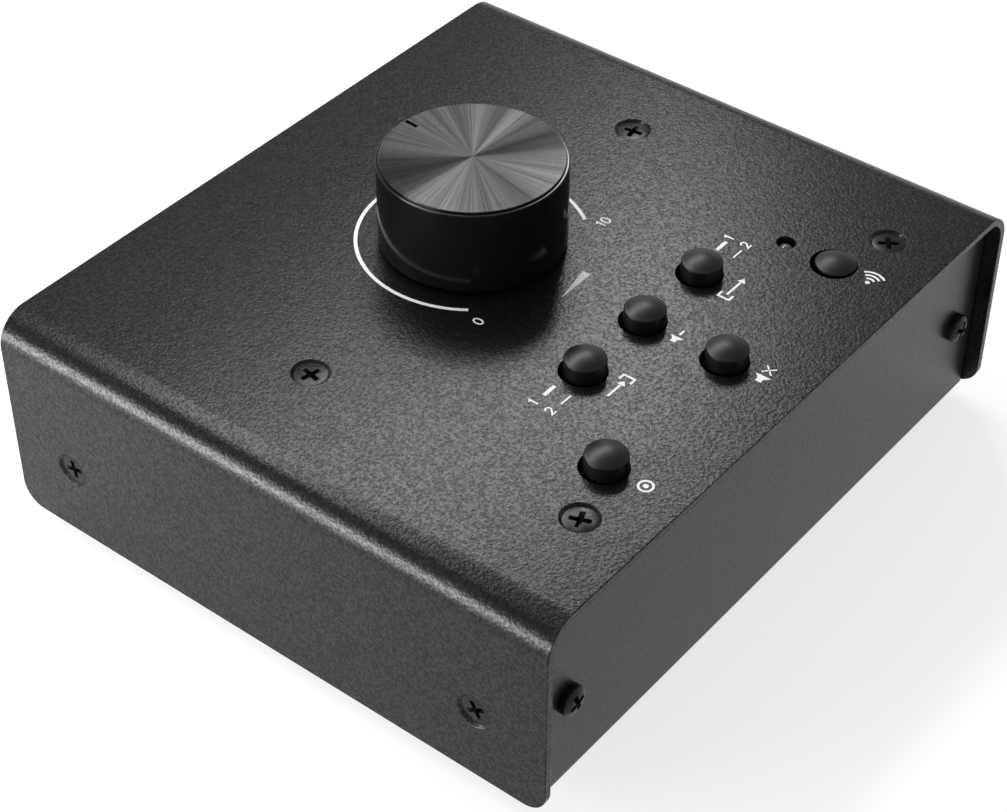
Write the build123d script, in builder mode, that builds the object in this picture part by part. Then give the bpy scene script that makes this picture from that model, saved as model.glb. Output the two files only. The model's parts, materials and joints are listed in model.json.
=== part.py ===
from build123d import *
import math
import os

# Studio monitor controller, in millimetres. X runs to the user's right, Y to the back, Z up.
# The origin lies under the middle of the case, on the surface that the feet stand on.

os.makedirs("parts", exist_ok=True)

# ---------------------------------------------------------------- case sheets
cover_width = 138.0
cover_depth = 120.4
cover_height = 42.0
cover_sheet = 1.5
cover_bend_radius = 6.3
flange_corner_radius = 4.5
chassis_sheet = 1.2
chassis_bend_radius = 1.6
panel_recess = 2.9
chassis_side_gap = 0.3
panel_top_gap = 0.4
chassis_drop = 1.0

foot_height = 3.0
foot_radius = 6.0
foot_taper = 0.8
foot_inset_x = 17.0
foot_inset_y = 16.0

base_z = foot_height
flange_z = base_z + chassis_drop
top_z = flange_z + cover_height
ceiling_z = top_z - cover_sheet
floor_z = base_z + chassis_sheet
flange_inner_x = cover_width / 2 - cover_sheet
panel_outer_y = cover_depth / 2 - panel_recess
panel_inner_y = panel_outer_y - chassis_sheet
chassis_width = 2 * (flange_inner_x - chassis_side_gap)
panel_top_z = ceiling_z - panel_top_gap
panel_corner_radius = cover_bend_radius - cover_sheet - chassis_side_gap
edge_match = 0.01
fillet_share = 0.8

# ---------------------------------------------------------------- screws
thread_radius = 1.5
thread_gap = 0.03
screw_length = 6.0
head_radius = 3.0
head_sink = 0.45
head_seat_gap = 0.03
sink_angle = 90.0
screw_hole_gap = 0.2
pan_head_radius = 2.8
pan_head_height = 2.1
pan_head_crown = 0.7
recess_width = 0.9
recess_length = 3.2
recess_depth = 1.0
tapped_radius = thread_radius + thread_gap
screw_hole_radius = thread_radius + screw_hole_gap
sink_slope = math.tan(math.radians(sink_angle / 2))
sink_radius = head_radius + head_sink * sink_slope
shank_radius = head_radius - head_seat_gap - (cover_sheet - head_sink) * sink_slope

side_screw_inset = 14.5
side_screw_height = 15.1
panel_screw_inset = 9.3
panel_screw_height = 18.5

# ---------------------------------------------------------------- corner brackets
bracket_sheet = 2.0
bracket_margin = 5.6
bracket_bend_radius = 2.5
bracket_screw_edge = 2.2
bracket_socket_gap = 0.4

# ---------------------------------------------------------------- controls on the cover
controls_x = 0.5
button_pitch = 17.1
front_row_inset = 15.9
button_hole_radius = 4.25
cap_gap = 0.5
cap_proud = 2.75
cap_dome = 0.9
cap_edge_radius = 0.2
low_cap_proud = 0.3
low_cap_dome = 0.8
dial_behind_row = 38.0
lamp_behind_row = 10.1
board_shift_x = 0.2
board_shift_y = -0.25

front_row_y = -cover_depth / 2 + front_row_inset
back_row_y = front_row_y + button_pitch
dial_x = controls_x
dial_y = back_row_y + dial_behind_row

# Latching buttons: name, column counted from the middle, row's place.
latching_buttons = (
    ("source", -1, back_row_y),
    ("dim", 0, back_row_y),
    ("output", 1, back_row_y),
    ("mute", 0, front_row_y),
    ("mono", -2, front_row_y),
)
wireless_column = 2
wireless_x = controls_x + wireless_column * button_pitch
wireless_y = front_row_y
lamp_x = wireless_x
lamp_y = wireless_y + lamp_behind_row

# ---------------------------------------------------------------- control board
cover_screw_spacing_x = 92.0
cover_screw_spacing_y = 56.8
cover_screw_inset = 11.8
standoff_length = 12.0
standoff_wall = 0.97
board_sheet = 1.6
board_side_margin = 6.0
board_front_margin = 5.0
board_corner_radius = 2.0
board_hole_gap = 0.4
pin_radius = 0.35
pin_gap = 0.15
pin_stub = 1.4

cover_screw_y = -cover_depth / 2 + cover_screw_inset
rear_cover_screw_y = cover_screw_y + cover_screw_spacing_y
standoff_flats = 2 * (tapped_radius + standoff_wall)
board_hole_radius = thread_radius + board_hole_gap
board_top_z = ceiling_z - standoff_length
board_bottom_z = board_top_z - board_sheet
board_front_y = cover_screw_y - board_front_margin
board_width = cover_screw_spacing_x + 2 * board_side_margin
pin_hole_radius = pin_radius + pin_gap

# ---------------------------------------------------------------- push switches
latch_travel = 2.2
press_travel = 0.5
stop_clearance = 0.3
latch_size = 8.4
latch_height = 8.0
latch_pin_columns = 3
latch_pin_pitch = 2.0
latch_pin_row = 4.4
latch_stem = 3.2
press_size = 6.0
press_height = 4.0
press_pin_pitch = 4.5
press_stem_radius = 1.7
switch_floor = 1.0
stem_gap = 0.3
socket_gap = 0.03
cap_roof = 1.3

cap_radius = button_hole_radius - cap_gap
latch_cap_bottom_z = board_top_z + latch_height + latch_travel + stop_clearance
press_cap_bottom_z = latch_cap_bottom_z

# ---------------------------------------------------------------- volume control
pot_size = 16.0
pot_corner_radius = 1.0
bushing_wall = 0.44
bushing_hole_gap = 0.45
washer_sheet = 0.5
washer_rim = 2.1
nut_height = 2.0
nut_wall = 1.5
bushing_stub = 0.8
shaft_radius = 3.0
shaft_gap = 0.06
shaft_flat = 0.8
shaft_top_gap = 0.5
pot_floor = 2.0
pot_pin_columns = 3
pot_pin_pitch = 5.0
pot_pin_row = 10.0
knob_radius = 17.1
knob_rise = 17.8
knob_ground_gap = 1.0
knob_wall = 1.8
knob_web = 2.0
knob_hub_wall = 2.5
knob_hub_gap = 0.7
knob_rim_wall = 0.52
knob_edge_radius = 0.35
disc_sheet = 1.3
disc_proud = 0.45
disc_seat_gap = 0.03
disc_chamfer = 0.2
pointer_angle = 86.0
pointer_length = 2.8
pointer_width = 0.85
pointer_depth = 0.15
pointer_rim_gap = 0.15

bushing_radius = shaft_radius + shaft_gap + bushing_wall
washer_radius = bushing_radius + washer_rim
nut_flats = 2 * (bushing_radius + nut_wall)
knob_hub_radius = shaft_radius + socket_gap + knob_hub_wall
disc_radius = knob_radius - knob_rim_wall - disc_seat_gap
pot_x = dial_x + board_shift_x
pot_y = dial_y + board_shift_y
washer_z = top_z
nut_z = washer_z + washer_sheet
bushing_top_z = nut_z + nut_height + bushing_stub
knob_bottom_z = top_z + knob_ground_gap
knob_top_z = top_z + knob_rise
disc_seat_z = knob_top_z - disc_sheet
knob_rim_z = knob_top_z - disc_proud
web_under_z = disc_seat_z - knob_web
hub_bottom_z = bushing_top_z + knob_hub_gap
shaft_top_z = web_under_z
dial_axis = Axis((pot_x, pot_y, 0), (0, 0, 1))

# ---------------------------------------------------------------- indicator lamp
lamp_radius = 1.5
lamp_hole_gap = 0.25
lamp_flange_rim = 0.4
lamp_flange_height = 1.0
lamp_height = 5.3
lamp_recess = 0.6
lead_radius = 0.25
lead_pitch = 2.54
lead_hole_gap = 0.4
spacer_rim = 0.5
lamp_flange_radius = lamp_radius + lamp_flange_rim
lamp_hole_radius = lamp_radius + lamp_hole_gap
lead_hole_radius = lead_radius + lead_hole_gap
spacer_radius = lamp_flange_radius + spacer_rim
lamp_bottom_z = top_z - lamp_recess - lamp_height

# ---------------------------------------------------------------- rear sockets and their board
jack_count = 6
jack_body_width = 14.4
jack_body_gap = 0.4
jack_body_length = 28.0
jack_body_height = 13.0
jack_nose_wall = 1.25
jack_hole_gap = 0.2
jack_nut_flats = 12.0
jack_nut_height = 2.3
jack_nose_stub = 0.3
jack_bore_radius = 3.25
jack_end_wall = 1.8
mini_width = 7.6
mini_length = 14.0
mini_height = 9.0
mini_nose_wall = 1.2
mini_bore_radius = 1.8
mini_bore_length = 13.0
power_width = 9.0
power_length = 13.0
power_height = 11.0
power_nose_wall = 1.2
power_bore_radius = 2.8
power_bore_length = 9.5
power_pin_radius = 1.0
power_pin_recess = 1.0
socket_nose_proud = 0.5
socket_side_gap = 0.5
post_height = 6.0
post_wall = 1.27
post_foot_wall = 0.57
post_spacing = 46.0
post_inset = 5.0
socket_board_edge = 0.3
socket_board_strip = 15.6
socket_board_gap = 0.6
jack_pin_x = 4.0
jack_pin_y = 9.0

socket_board_z = floor_z + post_height
socket_board_top_z = socket_board_z + board_sheet
socket_axis_z = socket_board_top_z + jack_body_height / 2
socket_board_back_y = panel_inner_y - socket_board_gap
socket_board_front_y = panel_inner_y - jack_body_length - socket_board_strip
socket_board_depth = socket_board_back_y - socket_board_front_y
jack_pitch = jack_body_width + jack_body_gap
jack_row_edge = jack_pitch * (jack_count - 1) / 2 + jack_body_width / 2
socket_row_edge = jack_row_edge + socket_side_gap + max(power_width, mini_width)
socket_board_width = 2 * (socket_row_edge + socket_board_edge)
jack_nose_radius = jack_bore_radius + jack_nose_wall
mini_nose_radius = mini_bore_radius + mini_nose_wall
power_nose_radius = power_bore_radius + power_nose_wall
post_radius = tapped_radius + post_wall
post_foot_radius = tapped_radius + post_foot_wall
power_x = -(jack_row_edge + socket_side_gap + power_width / 2)
mini_x = jack_row_edge + socket_side_gap + mini_width / 2
jack_nose_length = chassis_sheet + jack_nut_height + jack_nose_stub
jack_bore_length = jack_body_length + jack_nose_length - jack_end_wall
small_nose_length = chassis_sheet + socket_nose_proud
post_y = socket_board_front_y + post_inset
post_places = [(x, post_y) for x in (-post_spacing, 0.0, post_spacing)]
jack_places = [(i - (jack_count - 1) / 2) * jack_pitch for i in range(jack_count)]
jack_names = (
    "output_a_left_jack",
    "output_a_right_jack",
    "output_b_left_jack",
    "output_b_right_jack",
    "input_a_left_jack",
    "input_a_right_jack",
)

# ---------------------------------------------------------------- ribbon lead and small electronics
header_length = 20.0
header_width = 6.0
header_height = 6.0
header_x = 24.0
header_inset = 5.9
ribbon_width = 17.0
ribbon_sheet = 0.9
ribbon_reach = 11.0
ribbon_bend_radius = 3.5
ribbon_relay_gap = 0.5
capacitor_radius = 4.0
capacitor_height = 10.0
capacitor_pitch = 11.0
capacitor_columns = 3
capacitor_rows = 2
capacitor_pin_gap = 0.9
capacitors_x = -23.0
chip_size = 5.0
chip_height = 1.6
chip_pitch = 13.0
chip_count = 5
relay_length = 20.0
relay_width = 10.0
relay_height = 9.0
relay_pitch = 13.0
relay_count = 3
relay_pin_gap = 0.4
relays_x = 23.0
radio_length = 24.0
radio_width = 13.0
radio_sheet = 1.0
radio_can_width = 11.0
radio_can_length = 16.0
radio_can_height = 1.8

# The control board reaches back past its rear standoffs, the volume control and the ribbon's header.
header_y = socket_board_front_y + header_inset
board_back_y = max(
    rear_cover_screw_y + board_side_margin,
    pot_y + pot_size / 2 + board_corner_radius,
    header_y + header_width,
)
mid_board_y = (board_front_y + board_back_y) / 2

# Relays and capacitors lie behind the pins of the back row of switches, and the ribbon's loop
# stays behind the relays.
latch_pins_back_y = back_row_y + board_shift_y + latch_pin_row / 2 + pin_radius
relays_y = latch_pins_back_y + relay_pin_gap + relay_length / 2
capacitors_depth = capacitor_pitch * (capacitor_rows - 1) + 2 * capacitor_radius
capacitors_y = latch_pins_back_y + capacitor_pin_gap + capacitors_depth / 2
ribbon_start_y = header_y - header_width / 2
ribbon_front_y = max(ribbon_start_y - ribbon_reach, relays_y + relay_length / 2 + ribbon_relay_gap)

# Planes that screws are seated on: each faces the way that its screw head looks.
cover_screw_seats = [
    Plane(origin=(controls_x + sx * cover_screw_spacing_x / 2, y, top_z), z_dir=(0, 0, 1))
    for sx in (-1, 1)
    for y in (cover_screw_y, rear_cover_screw_y)
]
side_screw_z = flange_z + side_screw_height
side_screw_y = cover_depth / 2 - side_screw_inset
side_screw_seats = [
    Plane(origin=(sx * cover_width / 2, sy * side_screw_y, side_screw_z), z_dir=(sx, 0, 0))
    for sx in (-1, 1)
    for sy in (-1, 1)
]
panel_screw_x = cover_width / 2 - panel_screw_inset
panel_screw_z = flange_z + panel_screw_height

# The rear panel's screws and the legs they hold stay outside the row of sockets.
front_leg_end_x = panel_screw_x - bracket_margin
rear_leg_end_x = max(front_leg_end_x, socket_row_edge + bracket_socket_gap)
rear_panel_screw_x = max(panel_screw_x, rear_leg_end_x + bracket_screw_edge)
panel_screw_seats = [
    Plane(origin=(sx * screw_x, sy * panel_outer_y, panel_screw_z), z_dir=(0, sy, 0))
    for sx in (-1, 1)
    for sy, screw_x in ((-1, panel_screw_x), (1, rear_panel_screw_x))
]
board_screw_seats = [
    Plane(origin=(seat.origin.X, seat.origin.Y, board_bottom_z), z_dir=(0, 0, -1))
    for seat in cover_screw_seats
]
post_screw_seats = [Plane(origin=(x, y, socket_board_top_z), z_dir=(0, 0, 1)) for x, y in post_places]
rear_jack_seats = [
    Plane(origin=(x, panel_inner_y, socket_axis_z), z_dir=(0, 1, 0)) for x in jack_places
]
power_seat = Plane(origin=(power_x, panel_inner_y, socket_axis_z), z_dir=(0, 1, 0))
mini_seat = Plane(origin=(mini_x, panel_inner_y, socket_axis_z), z_dir=(0, 1, 0))

ON_TOP = (Align.CENTER, Align.CENTER, Align.MIN)
BELOW = (Align.CENTER, Align.CENTER, Align.MAX)


def save(piece, name):
    """Label a finished piece and write it as one STEP file."""
    piece.part.label = name
    export_step(piece.part, f"parts/{name}.step")


def column_x(column):
    """Middle of a button column on the cover."""
    return controls_x + column * button_pitch


def round_edges(piece, radius):
    """Every round edge of this radius on a turned piece."""
    rounds = piece.edges().filter_by(GeomType.CIRCLE)
    return rounds.filter_by(lambda edge: abs(edge.radius - radius) < edge_match)


def highest_rim(piece, radius):
    """The highest round edge of this radius on a turned piece."""
    return round_edges(piece, radius).sort_by(Axis.Z)[-1]


def latch_pin_places():
    """Pin places of one latching switch, about its middle."""
    return GridLocations(latch_pin_pitch, latch_pin_row, latch_pin_columns, 2)


# ---------------------------------------------------------------- top cover
with BuildPart() as top_cover:
    with BuildSketch(Plane.XZ):
        with BuildLine():
            FilletPolyline(
                (-cover_width / 2, flange_z),
                (-cover_width / 2, top_z),
                (cover_width / 2, top_z),
                (cover_width / 2, flange_z),
                radius=cover_bend_radius,
            )
            offset(amount=cover_sheet, side=Side.RIGHT)
        make_face()
    extrude(amount=cover_depth / 2, both=True)
    fillet(top_cover.edges().filter_by(Axis.X).group_by(Axis.Z)[0], flange_corner_radius)
    with Locations(*cover_screw_seats, *side_screw_seats):
        CounterSinkHole(screw_hole_radius, sink_radius, depth=cover_sheet, counter_sink_angle=sink_angle)
    with Locations(*[(column_x(column), y, top_z) for _, column, y in latching_buttons]):
        Hole(button_hole_radius, depth=cover_sheet)
    with Locations((wireless_x, wireless_y, top_z)):
        Hole(button_hole_radius, depth=cover_sheet)
    with Locations((lamp_x, lamp_y, top_z)):
        Hole(lamp_hole_radius, depth=cover_sheet)
    with Locations((dial_x, dial_y, top_z)):
        Hole(bushing_radius + bushing_hole_gap, depth=cover_sheet)
save(top_cover, "top_cover")

# ---------------------------------------------------------------- chassis: floor, front and rear panel
with BuildPart() as chassis:
    with BuildSketch(Plane.YZ):
        with BuildLine():
            FilletPolyline(
                (-panel_outer_y, panel_top_z),
                (-panel_outer_y, base_z),
                (panel_outer_y, base_z),
                (panel_outer_y, panel_top_z),
                radius=chassis_bend_radius,
            )
            offset(amount=chassis_sheet, side=Side.LEFT)
        make_face()
    extrude(amount=chassis_width / 2, both=True)
    fillet(chassis.edges().filter_by(Axis.Y).group_by(Axis.Z)[-1], panel_corner_radius)
    with Locations(*panel_screw_seats):
        Hole(screw_hole_radius, depth=chassis_sheet)
    with Locations(*[seat.offset(chassis_sheet) for seat in rear_jack_seats]):
        Hole(jack_nose_radius + jack_hole_gap, depth=chassis_sheet)
    with Locations(power_seat.offset(chassis_sheet)):
        Hole(power_nose_radius + jack_hole_gap, depth=chassis_sheet)
    with Locations(mini_seat.offset(chassis_sheet)):
        Hole(mini_nose_radius + jack_hole_gap, depth=chassis_sheet)
    with Locations(*[(x, y, floor_z) for x, y in post_places]):
        Hole(post_foot_radius, depth=chassis_sheet)
save(chassis, "chassis")

# ---------------------------------------------------------------- corner brackets
# The flange leg and both ends reach past the screws by the same margin.
bracket_flange_leg = panel_inner_y - side_screw_y + bracket_margin
bracket_bottom_z = min(side_screw_z, panel_screw_z) - bracket_margin
bracket_height = max(side_screw_z, panel_screw_z) + bracket_margin - bracket_bottom_z
for end, sy, screw_x, leg_end_x in (
    ("front", -1, panel_screw_x, front_leg_end_x),
    ("rear", 1, rear_panel_screw_x, rear_leg_end_x),
):
    bracket_panel_leg = flange_inner_x - leg_end_x
    for side, sx in (("left", -1), ("right", 1)):
        inward = (
            Align.MIN if sx < 0 else Align.MAX,
            Align.MIN if sy < 0 else Align.MAX,
        )
        corner_x = sx * flange_inner_x
        corner_y = sy * panel_inner_y
        with BuildPart() as bracket:
            with BuildSketch(Plane.XY.offset(bracket_bottom_z)):
                with Locations((corner_x, corner_y)):
                    Rectangle(bracket_panel_leg, bracket_sheet, align=inward)
                    Rectangle(bracket_sheet, bracket_flange_leg, align=inward)
            extrude(amount=bracket_height)
            upright = bracket.edges().filter_by(Axis.Z)
            fillet(upright.sort_by_distance((corner_x, corner_y, bracket_bottom_z))[0], bracket_bend_radius)
            side_seat = Plane(origin=(corner_x, sy * side_screw_y, side_screw_z), z_dir=(sx, 0, 0))
            panel_seat = Plane(origin=(sx * screw_x, corner_y, panel_screw_z), z_dir=(0, sy, 0))
            with Locations(side_seat, panel_seat):
                Hole(tapped_radius, depth=bracket_sheet)
        save(bracket, f"{end}_{side}_bracket")

# ---------------------------------------------------------------- screws
# One countersunk and one pan-head screw, each with its head's seat on the XY plane.
with BuildPart() as flat_screw:
    with BuildSketch(Plane.XZ):
        with BuildLine():
            Polyline(
                (0, -head_sink),
                (head_radius - head_seat_gap, -head_sink),
                (shank_radius, -cover_sheet),
                (thread_radius, -cover_sheet),
                (thread_radius, -head_sink - screw_length),
                (0, -head_sink - screw_length),
                close=True,
            )
        make_face()
    revolve(axis=Axis.Z)
    with Locations((0, 0, -head_sink)):
        Box(recess_length, recess_width, recess_depth, align=BELOW, mode=Mode.SUBTRACT)
        Box(recess_width, recess_length, recess_depth, align=BELOW, mode=Mode.SUBTRACT)

with BuildPart() as pan_screw:
    with BuildSketch(Plane.XZ):
        with BuildLine():
            Polyline(
                (0, pan_head_height),
                (0, -screw_length),
                (thread_radius, -screw_length),
                (thread_radius, 0),
                (pan_head_radius, 0),
                (pan_head_radius, pan_head_height - pan_head_crown),
            )
            RadiusArc(
                (pan_head_radius, pan_head_height - pan_head_crown),
                (0, pan_head_height),
                -(pan_head_radius**2 + pan_head_crown**2) / (2 * pan_head_crown),
            )
        make_face()
    revolve(axis=Axis.Z)
    with Locations((0, 0, pan_head_height)):
        Box(recess_length, recess_width, recess_depth, align=BELOW, mode=Mode.SUBTRACT)
        Box(recess_width, recess_length, recess_depth, align=BELOW, mode=Mode.SUBTRACT)

for name, screw, seats in (
    ("cover_screws", flat_screw, cover_screw_seats),
    ("side_screws", flat_screw, side_screw_seats),
    ("panel_screws", pan_screw, panel_screw_seats),
    ("control_board_screws", pan_screw, board_screw_seats),
    ("socket_board_screws", pan_screw, post_screw_seats),
):
    with BuildPart() as screws:
        with Locations(*seats):
            add(screw.part)
    save(screws, name)

# ---------------------------------------------------------------- control board and what holds it
with BuildPart() as standoffs:
    with BuildSketch(Plane.XY.offset(board_top_z)):
        with Locations(*[(seat.origin.X, seat.origin.Y) for seat in cover_screw_seats]):
            RegularPolygon(standoff_flats / 2, 6, major_radius=False)
            Circle(tapped_radius, mode=Mode.SUBTRACT)
    extrude(amount=standoff_length)
save(standoffs, "control_board_standoffs")

with BuildPart() as control_board:
    with BuildSketch(Plane.XY.offset(board_bottom_z)):
        with Locations((controls_x + board_shift_x, mid_board_y + board_shift_y)):
            RectangleRounded(board_width, board_back_y - board_front_y, board_corner_radius)
        with Locations(*[(seat.origin.X, seat.origin.Y) for seat in cover_screw_seats]):
            Circle(board_hole_radius, mode=Mode.SUBTRACT)
        for _, column, y in latching_buttons:
            with Locations((column_x(column) + board_shift_x, y + board_shift_y)):
                with latch_pin_places():
                    Circle(pin_hole_radius, mode=Mode.SUBTRACT)
        with Locations((wireless_x + board_shift_x, wireless_y + board_shift_y)):
            with GridLocations(press_pin_pitch, press_pin_pitch, 2, 2):
                Circle(pin_hole_radius, mode=Mode.SUBTRACT)
        with Locations((pot_x, pot_y)):
            with GridLocations(pot_pin_pitch, pot_pin_row, pot_pin_columns, 2):
                Circle(pin_hole_radius, mode=Mode.SUBTRACT)
        with Locations((lamp_x, lamp_y)):
            with GridLocations(lead_pitch, 1, 2, 1):
                Circle(lead_hole_radius, mode=Mode.SUBTRACT)
    extrude(amount=board_sheet)
save(control_board, "control_board")

# ---------------------------------------------------------------- latching push buttons
for name, column, y in latching_buttons:
    switch_x = column_x(column) + board_shift_x
    switch_y = y + board_shift_y
    stem_bottom_z = board_top_z + switch_floor + latch_travel + stop_clearance
    stem_top_z = top_z + cap_proud - cap_roof
    crown_radius = (cap_radius**2 + cap_dome**2) / (2 * cap_dome)

    with BuildPart() as switch:
        with BuildSketch(Plane.XY.offset(board_top_z)):
            with Locations((switch_x, switch_y)):
                Rectangle(latch_size, latch_size)
        extrude(amount=latch_height)
        with BuildSketch(Plane.XY.offset(board_top_z + switch_floor)):
            with Locations((switch_x, switch_y)):
                Rectangle(latch_stem + 2 * stem_gap, latch_stem + 2 * stem_gap)
        extrude(amount=latch_height, mode=Mode.SUBTRACT)
        with BuildSketch(Plane.XY.offset(board_bottom_z - pin_stub)):
            with Locations((switch_x, switch_y)):
                with latch_pin_places():
                    Circle(pin_radius)
        extrude(amount=pin_stub + board_sheet)
    save(switch, f"{name}_switch")

    with BuildPart() as stem:
        with BuildSketch(Plane.XY.offset(stem_bottom_z)):
            with Locations((switch_x, switch_y)):
                Rectangle(latch_stem, latch_stem)
        extrude(amount=stem_top_z - stem_bottom_z)
    save(stem, f"{name}_stem")

    with BuildPart() as cap:
        with BuildSketch(Plane(origin=(switch_x, switch_y, 0), x_dir=(1, 0, 0), z_dir=(0, -1, 0))):
            with BuildLine():
                Polyline(
                    (0, top_z + cap_proud + cap_dome),
                    (0, latch_cap_bottom_z),
                    (cap_radius, latch_cap_bottom_z),
                    (cap_radius, top_z + cap_proud),
                )
                RadiusArc((cap_radius, top_z + cap_proud), (0, top_z + cap_proud + cap_dome), -crown_radius)
            make_face()
        revolve(axis=Axis((switch_x, switch_y, 0), (0, 0, 1)))
        fillet(highest_rim(cap, cap_radius), cap_edge_radius)
        with BuildSketch(Plane.XY.offset(latch_cap_bottom_z)):
            with Locations((switch_x, switch_y)):
                Rectangle(latch_stem + 2 * socket_gap, latch_stem + 2 * socket_gap)
        extrude(amount=stem_top_z - latch_cap_bottom_z, mode=Mode.SUBTRACT)
    save(cap, f"{name}_button")

# ---------------------------------------------------------------- low momentary button of the wireless input
press_x = wireless_x + board_shift_x
press_y = wireless_y + board_shift_y
press_stem_bottom_z = board_top_z + switch_floor + press_travel + stop_clearance
press_stem_top_z = top_z + low_cap_proud - cap_roof
low_crown_radius = (cap_radius**2 + low_cap_dome**2) / (2 * low_cap_dome)

with BuildPart() as wireless_switch:
    with BuildSketch(Plane.XY.offset(board_top_z)):
        with Locations((press_x, press_y)):
            Rectangle(press_size, press_size)
    extrude(amount=press_height)
    with BuildSketch(Plane.XY.offset(board_top_z + switch_floor)):
        with Locations((press_x, press_y)):
            Circle(press_stem_radius + stem_gap)
    extrude(amount=press_height, mode=Mode.SUBTRACT)
    with BuildSketch(Plane.XY.offset(board_bottom_z - pin_stub)):
        with Locations((press_x, press_y)):
            with GridLocations(press_pin_pitch, press_pin_pitch, 2, 2):
                Circle(pin_radius)
    extrude(amount=pin_stub + board_sheet)
save(wireless_switch, "wireless_switch")

with BuildPart() as wireless_stem:
    with BuildSketch(Plane.XY.offset(press_stem_bottom_z)):
        with Locations((press_x, press_y)):
            Circle(press_stem_radius)
    extrude(amount=press_stem_top_z - press_stem_bottom_z)
save(wireless_stem, "wireless_stem")

with BuildPart() as wireless_button:
    with BuildSketch(Plane(origin=(press_x, press_y, 0), x_dir=(1, 0, 0), z_dir=(0, -1, 0))):
        with BuildLine():
            Polyline(
                (0, top_z + low_cap_proud + low_cap_dome),
                (0, press_cap_bottom_z),
                (cap_radius, press_cap_bottom_z),
                (cap_radius, top_z + low_cap_proud),
            )
            RadiusArc(
                (cap_radius, top_z + low_cap_proud),
                (0, top_z + low_cap_proud + low_cap_dome),
                -low_crown_radius,
            )
        make_face()
    revolve(axis=Axis((press_x, press_y, 0), (0, 0, 1)))
    fillet(highest_rim(wireless_button, cap_radius), cap_edge_radius)
    with BuildSketch(Plane.XY.offset(press_cap_bottom_z)):
        with Locations((press_x, press_y)):
            Circle(press_stem_radius + socket_gap)
    extrude(amount=press_stem_top_z - press_cap_bottom_z, mode=Mode.SUBTRACT)
save(wireless_button, "wireless_button")

# ---------------------------------------------------------------- volume control and its knob
with BuildPart() as volume_control:
    with BuildSketch(Plane.XY.offset(board_top_z)):
        with Locations((pot_x, pot_y)):
            RectangleRounded(pot_size, pot_size, pot_corner_radius)
    extrude(amount=standoff_length)
    with BuildSketch(Plane.XY.offset(ceiling_z)):
        with Locations((pot_x, pot_y)):
            Circle(bushing_radius)
    extrude(amount=bushing_top_z - ceiling_z)
    with BuildSketch(Plane.XY.offset(board_top_z + pot_floor)):
        with Locations((pot_x, pot_y)):
            Circle(shaft_radius + shaft_gap)
    extrude(amount=bushing_top_z - board_top_z, mode=Mode.SUBTRACT)
    with BuildSketch(Plane.XY.offset(board_bottom_z - pin_stub)):
        with Locations((pot_x, pot_y)):
            with GridLocations(pot_pin_pitch, pot_pin_row, pot_pin_columns, 2):
                Circle(pin_radius)
    extrude(amount=pin_stub + board_sheet)
save(volume_control, "volume_control")

with BuildPart() as bushing_washer:
    with BuildSketch(Plane.XY.offset(washer_z)):
        with Locations((pot_x, pot_y)):
            Circle(washer_radius)
            Circle(bushing_radius + thread_gap, mode=Mode.SUBTRACT)
    extrude(amount=washer_sheet)
save(bushing_washer, "bushing_washer")

with BuildPart() as bushing_nut:
    with BuildSketch(Plane.XY.offset(nut_z)):
        with Locations((pot_x, pot_y)):
            RegularPolygon(nut_flats / 2, 6, major_radius=False)
            Circle(bushing_radius + thread_gap, mode=Mode.SUBTRACT)
    extrude(amount=nut_height)
save(bushing_nut, "bushing_nut")

with BuildPart() as volume_shaft:
    with BuildSketch(Plane.XY.offset(board_top_z + pot_floor + stop_clearance)):
        with Locations((pot_x, pot_y)):
            Circle(shaft_radius)
    extrude(amount=shaft_top_z - shaft_top_gap - board_top_z - pot_floor - stop_clearance)
    with BuildSketch(Plane.XY.offset(hub_bottom_z)):
        with Locations((pot_x, pot_y - shaft_radius)):
            Rectangle(2 * shaft_radius, 2 * shaft_flat)
    extrude(amount=shaft_top_z - hub_bottom_z, mode=Mode.SUBTRACT)
save(volume_shaft, "volume_shaft")

with BuildPart() as volume_knob:
    with BuildSketch(Plane(origin=(pot_x, pot_y, 0), x_dir=(1, 0, 0), z_dir=(0, -1, 0))):
        with BuildLine():
            Polyline(
                (shaft_radius + socket_gap, hub_bottom_z),
                (knob_hub_radius, hub_bottom_z),
                (knob_hub_radius, web_under_z),
                (knob_radius - knob_wall, web_under_z),
                (knob_radius - knob_wall, knob_bottom_z),
                (knob_radius, knob_bottom_z),
                (knob_radius, knob_rim_z),
                (disc_radius + disc_seat_gap, knob_rim_z),
                (disc_radius + disc_seat_gap, disc_seat_z),
                (0, disc_seat_z),
                (0, shaft_top_z),
                (shaft_radius + socket_gap, shaft_top_z),
                close=True,
            )
        make_face()
    revolve(axis=dial_axis)
    fillet(round_edges(volume_knob, knob_radius), min(knob_edge_radius, fillet_share * knob_rim_wall))
    with BuildSketch(Plane.XY.offset(hub_bottom_z)):
        with Locations((pot_x, pot_y)):
            Circle(shaft_radius + socket_gap)
        with Locations((pot_x, pot_y - shaft_radius)):
            Rectangle(2 * knob_hub_radius, 2 * (shaft_flat - socket_gap), mode=Mode.INTERSECT)
    extrude(amount=shaft_top_z - hub_bottom_z)
save(volume_knob, "volume_knob")

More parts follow.
